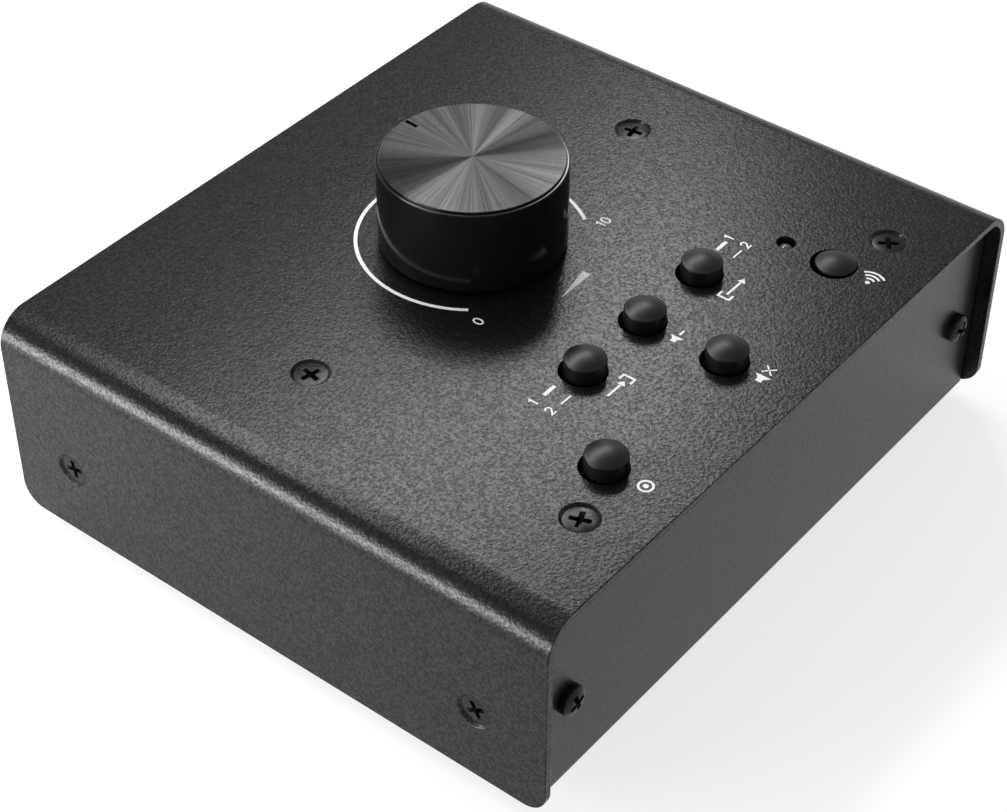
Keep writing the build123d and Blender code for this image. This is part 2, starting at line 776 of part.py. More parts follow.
pointer_turn = math.radians(pointer_angle)
pointer_middle = disc_radius - disc_chamfer - pointer_rim_gap - pointer_length / 2
with BuildPart() as knob_disc:
    with BuildSketch(Plane.XY.offset(disc_seat_z)):
        with Locations((pot_x, pot_y)):
            Circle(disc_radius)
    extrude(amount=disc_sheet)
    chamfer(knob_disc.edges().group_by(Axis.Z)[-1], disc_chamfer)
    pointer_x = pot_x + pointer_middle * math.cos(pointer_turn)
    pointer_y = pot_y + pointer_middle * math.sin(pointer_turn)
    with BuildSketch(Plane.XY.offset(knob_top_z - pointer_depth)):
        with Locations(Location((pointer_x, pointer_y), pointer_angle)):
            Rectangle(pointer_length, pointer_width)
    extrude(amount=pointer_depth, mode=Mode.SUBTRACT)
save(knob_disc, "knob_disc")

# ---------------------------------------------------------------- indicator lamp
with BuildPart() as status_lamp:
    with Locations((lamp_x, lamp_y, lamp_bottom_z)):
        Cylinder(lamp_flange_radius, lamp_flange_height, align=ON_TOP)
        Cylinder(lamp_radius, lamp_height - lamp_radius, align=ON_TOP)
    with Locations((lamp_x, lamp_y, lamp_bottom_z + lamp_height - lamp_radius)):
        Sphere(lamp_radius)
    with BuildSketch(Plane.XY.offset(board_bottom_z - pin_stub)):
        with Locations((lamp_x, lamp_y)):
            with GridLocations(lead_pitch, 1, 2, 1):
                Circle(lead_radius)
    extrude(amount=lamp_bottom_z - board_bottom_z + pin_stub)
save(status_lamp, "status_lamp")

with BuildPart() as lamp_spacer:
    with BuildSketch(Plane.XY.offset(board_top_z)):
        with Locations((lamp_x, lamp_y)):
            Circle(spacer_radius)
            with GridLocations(lead_pitch, 1, 2, 1):
                Circle(lead_radius + pin_gap, mode=Mode.SUBTRACT)
    extrude(amount=lamp_bottom_z - board_top_z)
save(lamp_spacer, "lamp_spacer")

# ---------------------------------------------------------------- rear sockets
with BuildPart() as socket_board_posts:
    with BuildSketch(Plane.XY.offset(floor_z)):
        with Locations(*post_places):
            Circle(post_radius)
    extrude(amount=post_height)
    with BuildSketch(Plane.XY.offset(base_z)):
        with Locations(*post_places):
            Circle(post_foot_radius)
    extrude(amount=chassis_sheet)
    with BuildSketch(Plane.XY.offset(base_z)):
        with Locations(*post_places):
            Circle(tapped_radius)
    extrude(amount=post_height + chassis_sheet, mode=Mode.SUBTRACT)
save(socket_board_posts, "socket_board_posts")

jack_body_y = panel_inner_y - jack_body_length / 2
with BuildPart() as socket_board:
    with BuildSketch(Plane.XY.offset(socket_board_z)):
        with Locations((0, (socket_board_front_y + socket_board_back_y) / 2)):
            RectangleRounded(socket_board_width, socket_board_depth, board_corner_radius)
        with Locations(*post_places):
            Circle(board_hole_radius, mode=Mode.SUBTRACT)
        with Locations(*[(x, jack_body_y) for x in jack_places]):
            with GridLocations(2 * jack_pin_x, jack_pin_y, 2, 2):
                Circle(pin_hole_radius, mode=Mode.SUBTRACT)
    extrude(amount=board_sheet)
save(socket_board, "socket_board")

for name, seat in zip(jack_names, rear_jack_seats):
    with BuildPart() as jack:
        with BuildSketch(Plane.XY.offset(socket_board_top_z)):
            with Locations((seat.origin.X, jack_body_y)):
                Rectangle(jack_body_width, jack_body_length)
        extrude(amount=jack_body_height)
        with Locations(seat):
            Cylinder(jack_nose_radius, jack_nose_length, align=ON_TOP)
        with Locations(seat.offset(jack_nose_length)):
            Hole(jack_bore_radius, depth=jack_bore_length)
        with BuildSketch(Plane.XY.offset(socket_board_z - pin_stub)):
            with Locations((seat.origin.X, jack_body_y)):
                with GridLocations(2 * jack_pin_x, jack_pin_y, 2, 2):
                    Circle(pin_radius)
        extrude(amount=pin_stub + board_sheet)
    save(jack, name)

with BuildPart() as jack_nuts:
    for seat in rear_jack_seats:
        with BuildSketch(seat.offset(chassis_sheet)):
            RegularPolygon(jack_nut_flats / 2, 6, major_radius=False)
            Circle(jack_nose_radius + thread_gap, mode=Mode.SUBTRACT)
        extrude(amount=jack_nut_height)
save(jack_nuts, "jack_nuts")

with BuildPart() as input_b_jack:
    with BuildSketch(Plane.XY.offset(socket_board_top_z)):
        with Locations((mini_x, panel_inner_y - mini_length / 2)):
            Rectangle(mini_width, mini_length)
    extrude(amount=(jack_body_height + mini_height) / 2)
    with Locations(mini_seat):
        Cylinder(mini_nose_radius, small_nose_length, align=ON_TOP)
    with Locations(mini_seat.offset(small_nose_length)):
        Hole(mini_bore_radius, depth=mini_bore_length)
save(input_b_jack, "input_b_jack")

with BuildPart() as power_socket:
    with BuildSketch(Plane.XY.offset(socket_board_top_z)):
        with Locations((power_x, panel_inner_y - power_length / 2)):
            Rectangle(power_width, power_length)
    extrude(amount=(jack_body_height + power_height) / 2)
    with Locations(power_seat):
        Cylinder(power_nose_radius, small_nose_length, align=ON_TOP)
    with Locations(power_seat.offset(small_nose_length)):
        Hole(power_bore_radius, depth=power_bore_length)
    with Locations(power_seat.offset(small_nose_length - power_bore_length)):
        Cylinder(power_pin_radius, power_bore_length - power_pin_recess, align=ON_TOP)
save(power_socket, "power_socket")

# ---------------------------------------------------------------- ribbon lead between the boards
with BuildPart() as ribbon_headers:
    for header_z in (board_bottom_z - header_height, socket_board_top_z):
        with BuildSketch(Plane.XY.offset(header_z)):
            with Locations((header_x, header_y)):
                Rectangle(header_length, header_width)
        extrude(amount=header_height)
save(ribbon_headers, "ribbon_headers")

ribbon_upper_z = board_bottom_z - header_height / 2
ribbon_lower_z = socket_board_top_z + header_height / 2
with BuildPart() as ribbon_lead:
    with BuildSketch(Plane.YZ.offset(header_x - ribbon_width / 2)):
        with BuildLine():
            FilletPolyline(
                (ribbon_start_y, ribbon_upper_z),
                (ribbon_front_y, ribbon_upper_z),
                (ribbon_front_y, ribbon_lower_z),
                (ribbon_start_y, ribbon_lower_z),
                radius=ribbon_bend_radius,
            )
            offset(amount=ribbon_sheet, side=Side.LEFT)
        make_face()
    extrude(amount=ribbon_width)
save(ribbon_lead, "ribbon_lead")

# ---------------------------------------------------------------- parts soldered under the control board
with BuildPart() as capacitors:
    with BuildSketch(Plane.XY.offset(board_bottom_z)):
        with Locations((capacitors_x, capacitors_y)):
            with GridLocations(capacitor_pitch, capacitor_pitch, capacitor_columns, capacitor_rows):
                Circle(capacitor_radius)
    extrude(amount=-capacitor_height)
save(capacitors, "capacitors")

with BuildPart() as amplifier_chips:
    with BuildSketch(Plane.XY.offset(board_bottom_z)):
        with Locations((controls_x, front_row_y + button_pitch / 2)):
            with GridLocations(chip_pitch, chip_size, chip_count, 1):
                Rectangle(chip_size, chip_size)
    extrude(amount=-chip_height)
save(amplifier_chips, "amplifier_chips")

with BuildPart() as relays:
    with BuildSketch(Plane.XY.offset(board_bottom_z)):
        with Locations((relays_x, relays_y)):
            with GridLocations(relay_pitch, relay_length, relay_count, 1):
                Rectangle(relay_width, relay_length)
    extrude(amount=-relay_height)
save(relays, "relays")

with BuildPart() as wireless_module:
    with BuildSketch(Plane.XY.offset(board_top_z)):
        with Locations((lamp_x, lamp_y + radio_length)):
            Rectangle(radio_width, radio_length)
    extrude(amount=radio_sheet)
    with BuildSketch(Plane.XY.offset(board_top_z + radio_sheet)):
        with Locations((lamp_x, lamp_y + radio_length)):
            Rectangle(radio_can_width, radio_can_length)
    extrude(amount=radio_can_height)
save(wireless_module, "wireless_module")

# ---------------------------------------------------------------- rubber feet
for end, sy in (("front", -1), ("rear", 1)):
    for side, sx in (("left", -1), ("right", 1)):
        foot_x = sx * (cover_width / 2 - foot_inset_x)
        foot_y = sy * (cover_depth / 2 - foot_inset_y)
        with BuildPart() as foot:
            with BuildSketch(Plane.XY):
                with Locations((foot_x, foot_y)):
                    Circle(foot_radius - foot_taper)
            with BuildSketch(Plane.XY.offset(foot_height)):
                with Locations((foot_x, foot_y)):
                    Circle(foot_radius)
            loft()
        save(foot, f"{end}_{side}_foot")
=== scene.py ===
import json
import math
from itertools import product

import bmesh
import bpy
from bpy.props import FloatProperty, FloatVectorProperty, IntProperty, PointerProperty
from mathutils import Matrix, Vector


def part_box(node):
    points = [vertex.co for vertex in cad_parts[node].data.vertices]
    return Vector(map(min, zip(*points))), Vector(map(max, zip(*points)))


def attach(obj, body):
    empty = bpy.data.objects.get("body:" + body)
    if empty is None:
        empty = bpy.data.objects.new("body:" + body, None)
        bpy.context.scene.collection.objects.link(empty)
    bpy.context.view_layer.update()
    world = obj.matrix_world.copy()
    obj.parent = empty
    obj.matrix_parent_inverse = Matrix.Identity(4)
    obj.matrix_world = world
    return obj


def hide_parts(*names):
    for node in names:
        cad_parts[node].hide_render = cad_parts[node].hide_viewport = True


bl_info = {
    "name": "Studio Monitor Controller",
    "version": (1, 0, 0),
    "blender": (4, 5, 0),
    "location": "3D View > Sidebar > Controller",
    "description": "Dresses the packed monitor controller and sets it on a studio floor",
    "category": "Object",
}

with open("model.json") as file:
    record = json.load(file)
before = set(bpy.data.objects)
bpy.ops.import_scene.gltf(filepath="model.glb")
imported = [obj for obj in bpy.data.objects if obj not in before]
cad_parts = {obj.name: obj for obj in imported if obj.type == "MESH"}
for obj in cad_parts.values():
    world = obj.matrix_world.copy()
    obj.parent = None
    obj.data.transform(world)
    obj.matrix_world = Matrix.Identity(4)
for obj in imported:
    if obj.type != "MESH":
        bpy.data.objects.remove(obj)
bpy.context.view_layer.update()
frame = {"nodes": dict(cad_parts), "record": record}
NODES = frame["nodes"]
SLOTS = {part["node"]: part["material_slot"] for part in frame["record"]["subparts"]}
BODY_OF = {node: body for body, nodes in frame["record"]["behaviour"]["bodies"].items() for node in nodes}
MM = 0.001

RAISED_KEYS = ("source", "dim", "output", "mute", "mono")
JACK_PAIRS = ("output_a", "output_b", "input_a")
JACKS = [f"{pair}_{side}_jack" for pair, side in product(JACK_PAIRS, ("left", "right"))]
FEET = [f"{end}_{side}_foot" for end, side in product(("front", "rear"), ("left", "right"))]
COVER_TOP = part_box("top_cover")[1].z / MM

# Edges sharper than this stay sharp in a smooth mesh.
SHARP = math.radians(32.0)
SCREW_RADIUS = 1.5

# The camera, in millimetres and degrees.
CAMERA_PLACE = (-266.828, -207.491, 305.149)
CAMERA_TURN = (48.3395, -0.0011, -51.4379)
CAMERA_SHIFT = (0.00945, 0.0308)
LENS = 85.4685


# ------------ sizes and colours
def length(label, text, millimetres):
    """A length setting, given in millimetres."""
    return FloatProperty(
        name=label, description=text, default=millimetres * MM, min=0.0, subtype="DISTANCE", unit="LENGTH"
    )


def turning(label, text, degrees):
    """An angle setting, given in degrees."""
    return FloatProperty(
        name=label, description=text, default=math.radians(degrees), subtype="ANGLE", unit="ROTATION"
    )


def glow(label, text, level):
    """A brightness setting."""
    return FloatProperty(name=label, description=text, default=level, min=0.0)


def colour(label, text, level):
    """A colour setting."""
    return FloatVectorProperty(
        name=label, description=text, default=level, min=0.0, max=1.0, size=3, subtype="COLOR"
    )


class CaseSettings(bpy.types.PropertyGroup):
    cut_edge: length("Cut edge", "Rounding of the sheets' cut edges", 0.14)
    coat_grain: length("Coat grain", "Size of one grain of the powder coat", 0.55)
    coat_relief: length("Coat relief", "Height of the powder coat's grain", 0.09)
    coat: colour("Coat", "Colour of the powder coat", (0.0045, 0.0045, 0.0047))
    panel: colour("Panel coat", "Colour of the front and rear panel's coat", (0.006, 0.006, 0.0061))


class FastenerSettings(bpy.types.PropertyGroup):
    recess_arm: length("Recess arm", "Length of one arm of the cross recess", 1.9)
    recess_half_width: length("Recess half width", "Half the width of the cross recess's arms", 0.48)
    recess_depth: length("Recess depth", "Depth of the cross recess", 1.35)
    thread_pitch: length("Thread pitch", "Distance between two turns of a thread", 0.5)
    turn_spread: turning("Turn spread", "How far the recesses turn at random, each way", 0.0)
    seed: IntProperty(name="Seed", description="Seed of the recesses' random turns", default=7)


class ControlSettings(bpy.types.PropertyGroup):
    cap_edge: length("Cap edge", "Rounding of a button cap's rim", 0.28)
    knob_edge: length("Knob edge", "Rounding of the knob's rim", 0.2)
    disc_chamfer: length("Disc chamfer", "Chamfer of the spun disc", 0.1)
    pointer_length: length("Pointer length", "Length of the pointer's groove", 2.8)
    pointer_width: length("Pointer width", "Width of the pointer's groove", 0.85)
    pointer_angle: turning("Pointer angle", "Where the pointer stands at rest, from +X", 86.0)
    cap: colour("Caps", "Colour of the button caps", (0.0015, 0.0015, 0.0016))
    knob: colour("Knob", "Colour of the knob's skirt", (0.0035, 0.0035, 0.0037))
    disc: colour("Disc", "Colour of the spun disc", (0.036, 0.036, 0.037))


class MarkSettings(bpy.types.PropertyGroup):
    thickness: length("Ink thickness", "Height of the printed marks", 0.02)
    line: length("Scale line", "Width of the dial's scale line", 0.68)
    stroke: length("Stroke", "Width of a figure's stroke", 0.3)
    arc_radius: length("Scale radius", "Radius of the dial's scale line", 21.04)
    ink: colour("Ink", "Colour of the printed marks", (0.72, 0.72, 0.72))


class StageSettings(bpy.types.PropertyGroup):
    surround: glow("Surround", "Brightness of the surround", 0.48)
    floor: glow("Floor", "Own brightness of the floor", 0.72)
    key: glow("Key", "Brightness of the softbox behind, on the right", 23.0)
    strip: glow("Strip", "Brightness of the long softbox behind", 15.0)
    low: glow("Low", "Brightness of the low softbox on the left", 23.0)


SETTINGS = {
    "controller_case": CaseSettings,
    "controller_fasteners": FastenerSettings,
    "controller_controls": ControlSettings,
    "controller_marks": MarkSettings,
    "controller_stage": StageSettings,
}


def setting(group):
    """The current values of one group of settings."""
    return getattr(bpy.context.scene, "controller_" + group)


# ------------ finishes
def new_node(tree, kind, settings=None, inputs=None):
    """Add a node: its settings first, then its sockets' values and links."""
    node = tree.nodes.new(kind)
    for key, value in (settings or {}).items():
        setattr(node, key, value)
    for key, value in (inputs or {}).items():
        if isinstance(value, bpy.types.NodeSocket):
            tree.links.new(value, node.inputs[key])
        else:
            node.inputs[key].default_value = value
    return node


class Value:
    """A socket of a finish that takes part in arithmetic."""

    def __init__(self, finish, socket):
        self.finish = finish
        self.socket = socket

    def __add__(self, other):
        return self.finish.maths("ADD", self, other)

    def __sub__(self, other):
        return self.finish.maths("SUBTRACT", self, other)

    def __rsub__(self, other):
        return self.finish.maths("SUBTRACT", other, self)

    def __mul__(self, other):
        return self.finish.maths("MULTIPLY", self, other)

    __radd__ = __add__
    __rmul__ = __mul__


class Finish:
    """A material under construction."""

    def __init__(self, name):
        self.material = bpy.data.materials.new(name + "_finish")
        self.material.use_nodes = True
        self.tree = self.material.node_tree
        self.tree.nodes.clear()
        self.place = self.add("TexCoord", output="Object")

    def add(self, kind, settings=None, inputs=None, output=0):
        """Add a shader node and give back one of its outputs."""
        given = {key: getattr(value, "socket", value) for key, value in (inputs or {}).items()}
        node = new_node(self.tree, "ShaderNode" + kind, settings, given)
        return Value(self, node.outputs[output]) if node.outputs else None

    def maths(self, operation, first, second=0.0):
        """Sum, difference, product or function of values."""
        return self.add("Math", {"operation": operation}, {0: first, 1: second})

    def noise(self, size, detail=2.0, roughness=0.5, vector=None):
        """Noise whose features are about this many millimetres wide."""
        inputs = {"Vector": vector or self.place, "Scale": 1.0 / (size * MM)}
        return self.add("TexNoise", inputs={**inputs, "Detail": detail, "Roughness": roughness})

    def noise_along(self, value, scale, detail, roughness=0.5):
        """Noise that changes along one value only."""
        return self.add(
            "TexNoise",
            {"noise_dimensions": "1D"},
            {"W": value, "Scale": scale, "Detail": detail, "Roughness": roughness},
        )

    def stretched(self, scale, location=(0.0, 0.0, 0.0)):
        """Object coordinates about another centre, stretched along their axes."""
        return self.add(
            "Mapping",
            {"vector_type": "POINT"},
            {"Vector": self.place, "Scale": scale, "Location": location},
        )

    def between(self, value, low, high, first=0.0, last=1.0):
        """Value from low to high, made first to last."""
        return self.add(
            "MapRange",
            {"clamp": True},
            {"Value": value, "From Min": low, "From Max": high, "To Min": first, "To Max": last},
        )

    def spread(self, noise, first=0.0, last=1.0):
        """Noise, which mostly keeps to its middle levels, made first to last."""
        return self.between(noise, 0.3, 0.7, first, last)

    def blend(self, share, first, second):
        """Colour between two colours."""
        sockets = {0: share}
        for key, tint in ((6, first), (7, second)):
            sockets[key] = tint if isinstance(tint, Value) else (*tint, 1.0)
        return self.add("Mix", {"data_type": "RGBA"}, sockets, output=2)

    def axis(self, letter):
        """One of the object coordinates, in metres."""
        return self.add("SeparateXYZ", inputs={"Vector": self.place}, output=letter)

    def surface(self, base, roughness, relief=None, height=0.0, **constants):
        """Close the finish: base colour, roughness, and relief of this height in metres."""
        sockets = {"Base Color": base, "Roughness": roughness}
        if relief is not None:
            bumped = {"Strength": 1.0, "Distance": height, "Height": relief}
            sockets["Normal"] = self.add("Bump", inputs=bumped)
        sockets.update({key.replace("_", " "): value for key, value in constants.items()})
        shader = self.add("BsdfPrincipled", inputs=sockets)
        self.add("OutputMaterial", inputs={"Surface": shader})
        return self.material


def shade(level, factor):
    """A colour made lighter or darker."""
    return tuple(min(1.0, part * factor) for part in level)


def coat(name, tint, grain, relief, roughness, gloss, glint):
    """Powder coat: rounded grains with glossier crowns, finer ones between, slow changes of shade."""
    finish = Finish(name)
    grains = finish.noise(grain / MM, detail=1.5, roughness=0.45)
    fine = finish.noise(grain / MM / 2.6, detail=1.0)
    slow = finish.noise(34.0)
    tone = finish.between(grains, 0.35, 0.68)
    base = finish.blend(tone, shade(tint, 0.7), shade(tint, 1.35))
    base = finish.blend(finish.between(slow, 0.35, 0.65, 0.0, 0.35), base, shade(tint, 1.1))
    rough = finish.spread(fine, roughness - 0.05, roughness + 0.07)
    crowns = finish.between(grains, 0.38, 0.66, 0.0, glint)
    heights = grains * 0.75 + fine * 0.25
    return finish.surface(
        base, rough, heights, relief, Coat_Weight=crowns, Coat_Roughness=roughness, Specular_IOR_Level=gloss
    )


def cover_coat():
    """The cover's coat, with crisp grains."""
    case = setting("case")
    grain, relief = case.coat_grain, case.coat_relief
    return coat("cover_coat", case.coat, grain, relief, roughness=0.26, gloss=0.14, glint=0.27)


def chassis_coat():
    """The chassis's coat, finer and flatter than the cover's."""
    case = setting("case")
    grain, relief = case.coat_grain * 0.8, case.coat_relief * 0.4
    return coat("chassis_coat", case.panel, grain, relief, roughness=0.33, gloss=0.28, glint=0.14)


def moulded(name, tint, roughness, grain=0.3, relief=0.004, **constants):
    """Moulded plastic, rubber or epoxy: fine grain, faint flow marks; grain and relief in millimetres."""
    finish = Finish(name)
    fine = finish.noise(grain, detail=3.0)
    flow = finish.noise(5.0, vector=finish.stretched((1.0, 1.0, 0.35)))
    base = finish.blend(finish.spread(flow), shade(tint, 0.85), shade(tint, 1.15))
    rough = finish.spread(flow * 0.5 + fine * 0.5, roughness - 0.04, roughness + 0.05)
    return finish.surface(base, rough, fine, relief * MM, **constants)


# How a pattern is stretched into lines.
ALONG_Z = (1.0, 1.0, 0.06)
ACROSS_Z = (0.06, 0.06, 1.0)
ACROSS_Y = (0.06, 1.0, 0.06)


def machined(name, tint, roughness, direction=ALONG_Z, relief=0.006):
    """Bare or plated metal with drawn or turned lines; relief in millimetres."""
    finish = Finish(name)
    lines = finish.noise(0.12, vector=finish.stretched(direction))
    cloud = finish.noise(3.0, detail=3.0)
    base = finish.blend(finish.spread(cloud), shade(tint, 0.88), shade(tint, 1.08))
    rough = finish.spread(lines * 0.6 + cloud * 0.4, roughness - 0.07, roughness + 0.08)
    return finish.surface(base, rough, lines, relief * MM, Metallic=1.0)


def black_screw():
    """Blackened steel, a little uneven."""
    finish = Finish("black_screw")
    cloud = finish.noise(0.7, detail=3.0)
    fine = finish.noise(0.12)
    base = finish.blend(finish.between(cloud, 0.35, 0.65), (0.003, 0.003, 0.003), (0.010, 0.010, 0.010))
    rough = finish.between(cloud * 0.6 + fine * 0.4, 0.35, 0.65, 0.20, 0.36)
    return finish.surface(base, rough, cloud, 0.01 * MM, Specular_IOR_Level=0.15)


def knob_plastic():
    """Polished black with faint flow and a few specks of dust."""
    finish = Finish("knob_plastic")
    tint = setting("controls").knob
    spots = finish.add("TexVoronoi", inputs={"Vector": finish.place, "Scale": 260.0, "Randomness": 1.0})
    dust = 1.0 - finish.between(spots, 0.018, 0.034)
    sparse = finish.between(finish.noise(6.0, detail=1.0), 0.56, 0.60)
    film = finish.noise(9.0, detail=3.0)
    base = finish.blend(dust * sparse * 0.35, tint, (0.3, 0.3, 0.3))
    rough = finish.spread(film, 0.13, 0.21) + dust * sparse * 0.3
    waves = finish.noise(1.4, detail=1.0)
    return finish.surface(base, rough, waves, 0.002 * MM, Specular_IOR_Level=0.21)


def spun_disc():
    """Circular turning marks; the base colour is streaked from the middle to the rim and lighter or darker by
    sector, a painted reflection of the light fans.
    """
    finish = Finish("spun_disc")
    low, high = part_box("knob_disc")
    centre = (low + high) / 2
    about = finish.stretched((1.0, 1.0, 1.0), (-centre.x, -centre.y, 0.0))
    turn = finish.add("TexGradient", {"gradient_type": "RADIAL"}, {"Vector": about})
    out = finish.add("VectorMath", {"operation": "LENGTH"}, {0: about}, output="Value")
    # Fine streaks and broad sectors around the middle, for the base colour: painted reflection of the light
    # fans.
    painted_reflection_streaks = finish.noise_along(turn * 260.0, scale=1.0, detail=3.0, roughness=0.6)
    painted_light_fans = finish.noise_along(turn * 26.0, scale=1.0, detail=2.0)
    rings = finish.noise_along(out, scale=7000.0, detail=2.0, roughness=0.7)
    tint = setting("controls").disc
    # Base colour lighter and darker along the streaks and sectors: painted reflection fans.
    tone = finish.between(painted_reflection_streaks * 0.5 + painted_light_fans * 0.5, 0.38, 0.62)
    base = finish.blend(tone, shade(tint, 0.5), shade(tint, 1.5))
    rough = finish.spread(rings, 0.22, 0.26)
    quarter_turn = 0.25
    return finish.surface(
        base, rough, rings, 0.001 * MM, Metallic=1.0, Anisotropic=0.935, Anisotropic_Rotation=quarter_turn
    )


def board_laminate():
    """Solder-masked board with rows of tracks."""
    finish = Finish("board_laminate")
    tracks = finish.add(
        "TexBrick",
        {"offset": 0.37},
        {"Vector": finish.place, "Scale": 260.0, "Mortar Size": 0.06, "Mortar Smooth": 0.2},
        output="Fac",
    )
    weave = finish.noise(0.5)
    base = finish.blend(tracks, (0.012, 0.10, 0.04), (0.03, 0.19, 0.08))
    rough = finish.spread(weave, 0.24, 0.36)
    return finish.surface(base, rough, tracks * 0.7 + weave * 0.3, 0.02 * MM)


def ribbon_sleeve():
    """Grey ribbon insulation: one rib for each wire, the one at the lowest X marked."""
    finish = Finish("ribbon_sleeve")
    wire_pitch = 1.27 * MM
    across = finish.axis("X")
    ribs = finish.maths("ABSOLUTE", finish.maths("SINE", across * (math.pi / wire_pitch)))
    marked = finish.between(across, 16.8 * MM, 16.9 * MM, 1.0, 0.0)
    base = finish.blend(marked, (0.42, 0.43, 0.45), (0.42, 0.03, 0.03))
    rough = finish.spread(finish.noise(0.6), 0.42, 0.54)
    return finish.surface(base, rough, ribs, 0.25 * MM)


def lamp_epoxy():
    """Clear lens, darker towards its foot."""
    finish = Finish("lamp_epoxy")
    height = finish.between(finish.axis("Z"), 41.0 * MM, 45.5 * MM)
    base = finish.blend(height, (0.10, 0.10, 0.11), (0.24, 0.25, 0.27))
    rough = finish.spread(finish.noise(0.5), 0.05, 0.12)
    waves = finish.noise(0.4, detail=1.0)
    return finish.surface(base, rough, waves, 0.002 * MM, Transmission_Weight=0.7, IOR=1.52)


def mark_ink():
    """Screen-printed ink with a fine grain."""
    finish = Finish("mark_ink")
    tint = setting("marks").ink
    grain = finish.noise(0.3)
    base = finish.blend(finish.spread(grain), shade(tint, 0.86), shade(tint, 1.08))
    rough = finish.spread(grain, 0.5, 0.62)
    return finish.surface(base, rough, grain, 0.012 * MM)


def button_plastic():
    """Satin black of the caps."""
    tint = setting("controls").cap
    return moulded("button_plastic", tint, 0.37, grain=0.22, relief=0.0035, Specular_IOR_Level=0.26)


# The finishes made by a function of their own.
FINISHES = {
    "cover_coat": cover_coat,
    "chassis_coat": chassis_coat,
    "black_screw": black_screw,
    "knob_plastic": knob_plastic,
    "spun_disc": spun_disc,
    "button_plastic": button_plastic,
    "board_laminate": board_laminate,
    "ribbon_sleeve": ribbon_sleeve,
    "lamp_epoxy": lamp_epoxy,
    "mark_ink": mark_ink,
}
# Tint, roughness and, where they differ from the usual ones, grain and relief.
MOULDED = {
    "switch_plastic": ((0.03, 0.03, 0.03), 0.45),
    "stem_plastic": ((0.72, 0.72, 0.68), 0.40),
    "socket_plastic": ((0.022, 0.022, 0.022), 0.36, 0.25, 0.006),
    "capacitor_sleeve": ((0.03, 0.04, 0.10), 0.30, 1.2, 0.01),
    "chip_epoxy": ((0.02, 0.02, 0.021), 0.55, 0.15, 0.006),
    "foot_rubber": ((0.018, 0.018, 0.018), 0.72, 0.35, 0.02),
}
# Tint, roughness and, where it differs from the usual one, direction.
MACHINED = {
    "plated_steel": ((0.60, 0.60, 0.58), 0.38),
    "bright_steel": ((0.64, 0.64, 0.63), 0.26, ACROSS_Z),
    "brass_hardware": ((0.68, 0.58, 0.34), 0.28, ACROSS_Z),
    "nut_nickel": ((0.62, 0.61, 0.59), 0.2, ACROSS_Y),
}


def finish_named(slot):
    """The finish of a material slot, made when it is first asked for."""
    made = bpy.data.materials.get(slot + "_finish")
    if made:
        return made
    if slot in MOULDED:
        return moulded(slot, *MOULDED[slot])
    if slot in MACHINED:
        return machined(slot, *MACHINED[slot])
    return FINISHES[slot]()


# ------------ shapes
def rounded(points, steps=5):
    """Profile whose corners are rounded: each point is radius, height and corner radius."""
    profile = []
    for index, (radius, height, corner) in enumerate(points):
        here = Vector((radius, height))
        if corner <= 0.0:
            profile.append(tuple(here))
            continue
        back = (Vector(points[index - 1][:2]) - here).normalized()
        on = (Vector(points[(index + 1) % len(points)][:2]) - here).normalized()
        half = back.angle(on) / 2
        centre = here + (back + on).normalized() * (corner / math.sin(half))
        first = here + back * (corner / math.tan(half)) - centre
        last = here + on * (corner / math.tan(half)) - centre
        sweep = first.angle_signed(last)
        for step in range(steps + 1):
            turn = Matrix.Rotation(-sweep * step / steps, 2)
            profile.append(tuple(centre + turn @ first))
    return profile


def dome(radius, rim, rise, edge, steps=10):
    """Profile of a crowned top from the axis to its rounded rim."""
    sphere = (radius * radius + rise * rise) / (2 * rise)
    inner = radius - edge
    points = []
    for step in range(steps + 1):
        out = inner * step / steps
        points.append((out, rim + rise - sphere + math.sqrt(sphere * sphere - out * out)))
    edge_z = points[-1][1]
    edge_steps = 4
    for step in range(1, edge_steps + 1):
        angle = math.radians(90 - 90 * step / edge_steps)
        points.append((inner + edge * math.cos(angle), edge_z - edge + edge * math.sin(angle)))
    return points


def turned(profile, segments=96):
    """Shape turned about Z from radius and height points in millimetres."""
    shape = bmesh.new()
    rings = []
    for radius, height in profile:
        if radius < 1e-6:
            rings.append([shape.verts.new((0.0, 0.0, height * MM))])
            continue
        ring = []
        for step in range(segments):
            angle = 2 * math.pi * step / segments
            spot = (radius * MM * math.cos(angle), radius * MM * math.sin(angle), height * MM)
            ring.append(shape.verts.new(spot))
        rings.append(ring)
    for low, high in zip(rings, rings[1:]):
        for step in range(segments):
            after = (step + 1) % segments
            spots = ((low, step), (low, after), (high, after), (high, step))
            corners = list(dict.fromkeys(ring[spot % len(ring)] for ring, spot in spots))
            if len(corners) > 2:
                shape.faces.new(corners)
    bmesh.ops.recalc_face_normals(shape, faces=shape.faces)
    return shape


def prism(shape, outline, low, high):
    """Add a closed slab with this outline; all sizes in millimetres."""
    bottom = [shape.verts.new((x * MM, y * MM, low * MM)) for x, y in outline]
    top = [shape.verts.new((x * MM, y * MM, high * MM)) for x, y in outline]
    shape.faces.new(bottom[::-1])
    shape.faces.new(top)
    for step in range(len(outline)):
        after = (step + 1) % len(outline)
        shape.faces.new((bottom[step], bottom[after], top[after], top[step]))


def moved(shape, centre):
    """Move the shape by this much in X and Y, given in millimetres."""
    bmesh.ops.translate(shape, verts=shape.verts, vec=Vector((centre.x, centre.y, 0.0)) * MM)
    return shape


def smoothed(data):
    """Shade the mesh smooth, except at its sharp edges."""
    data.shade_smooth()
    data.set_sharp_from_angle(angle=SHARP)


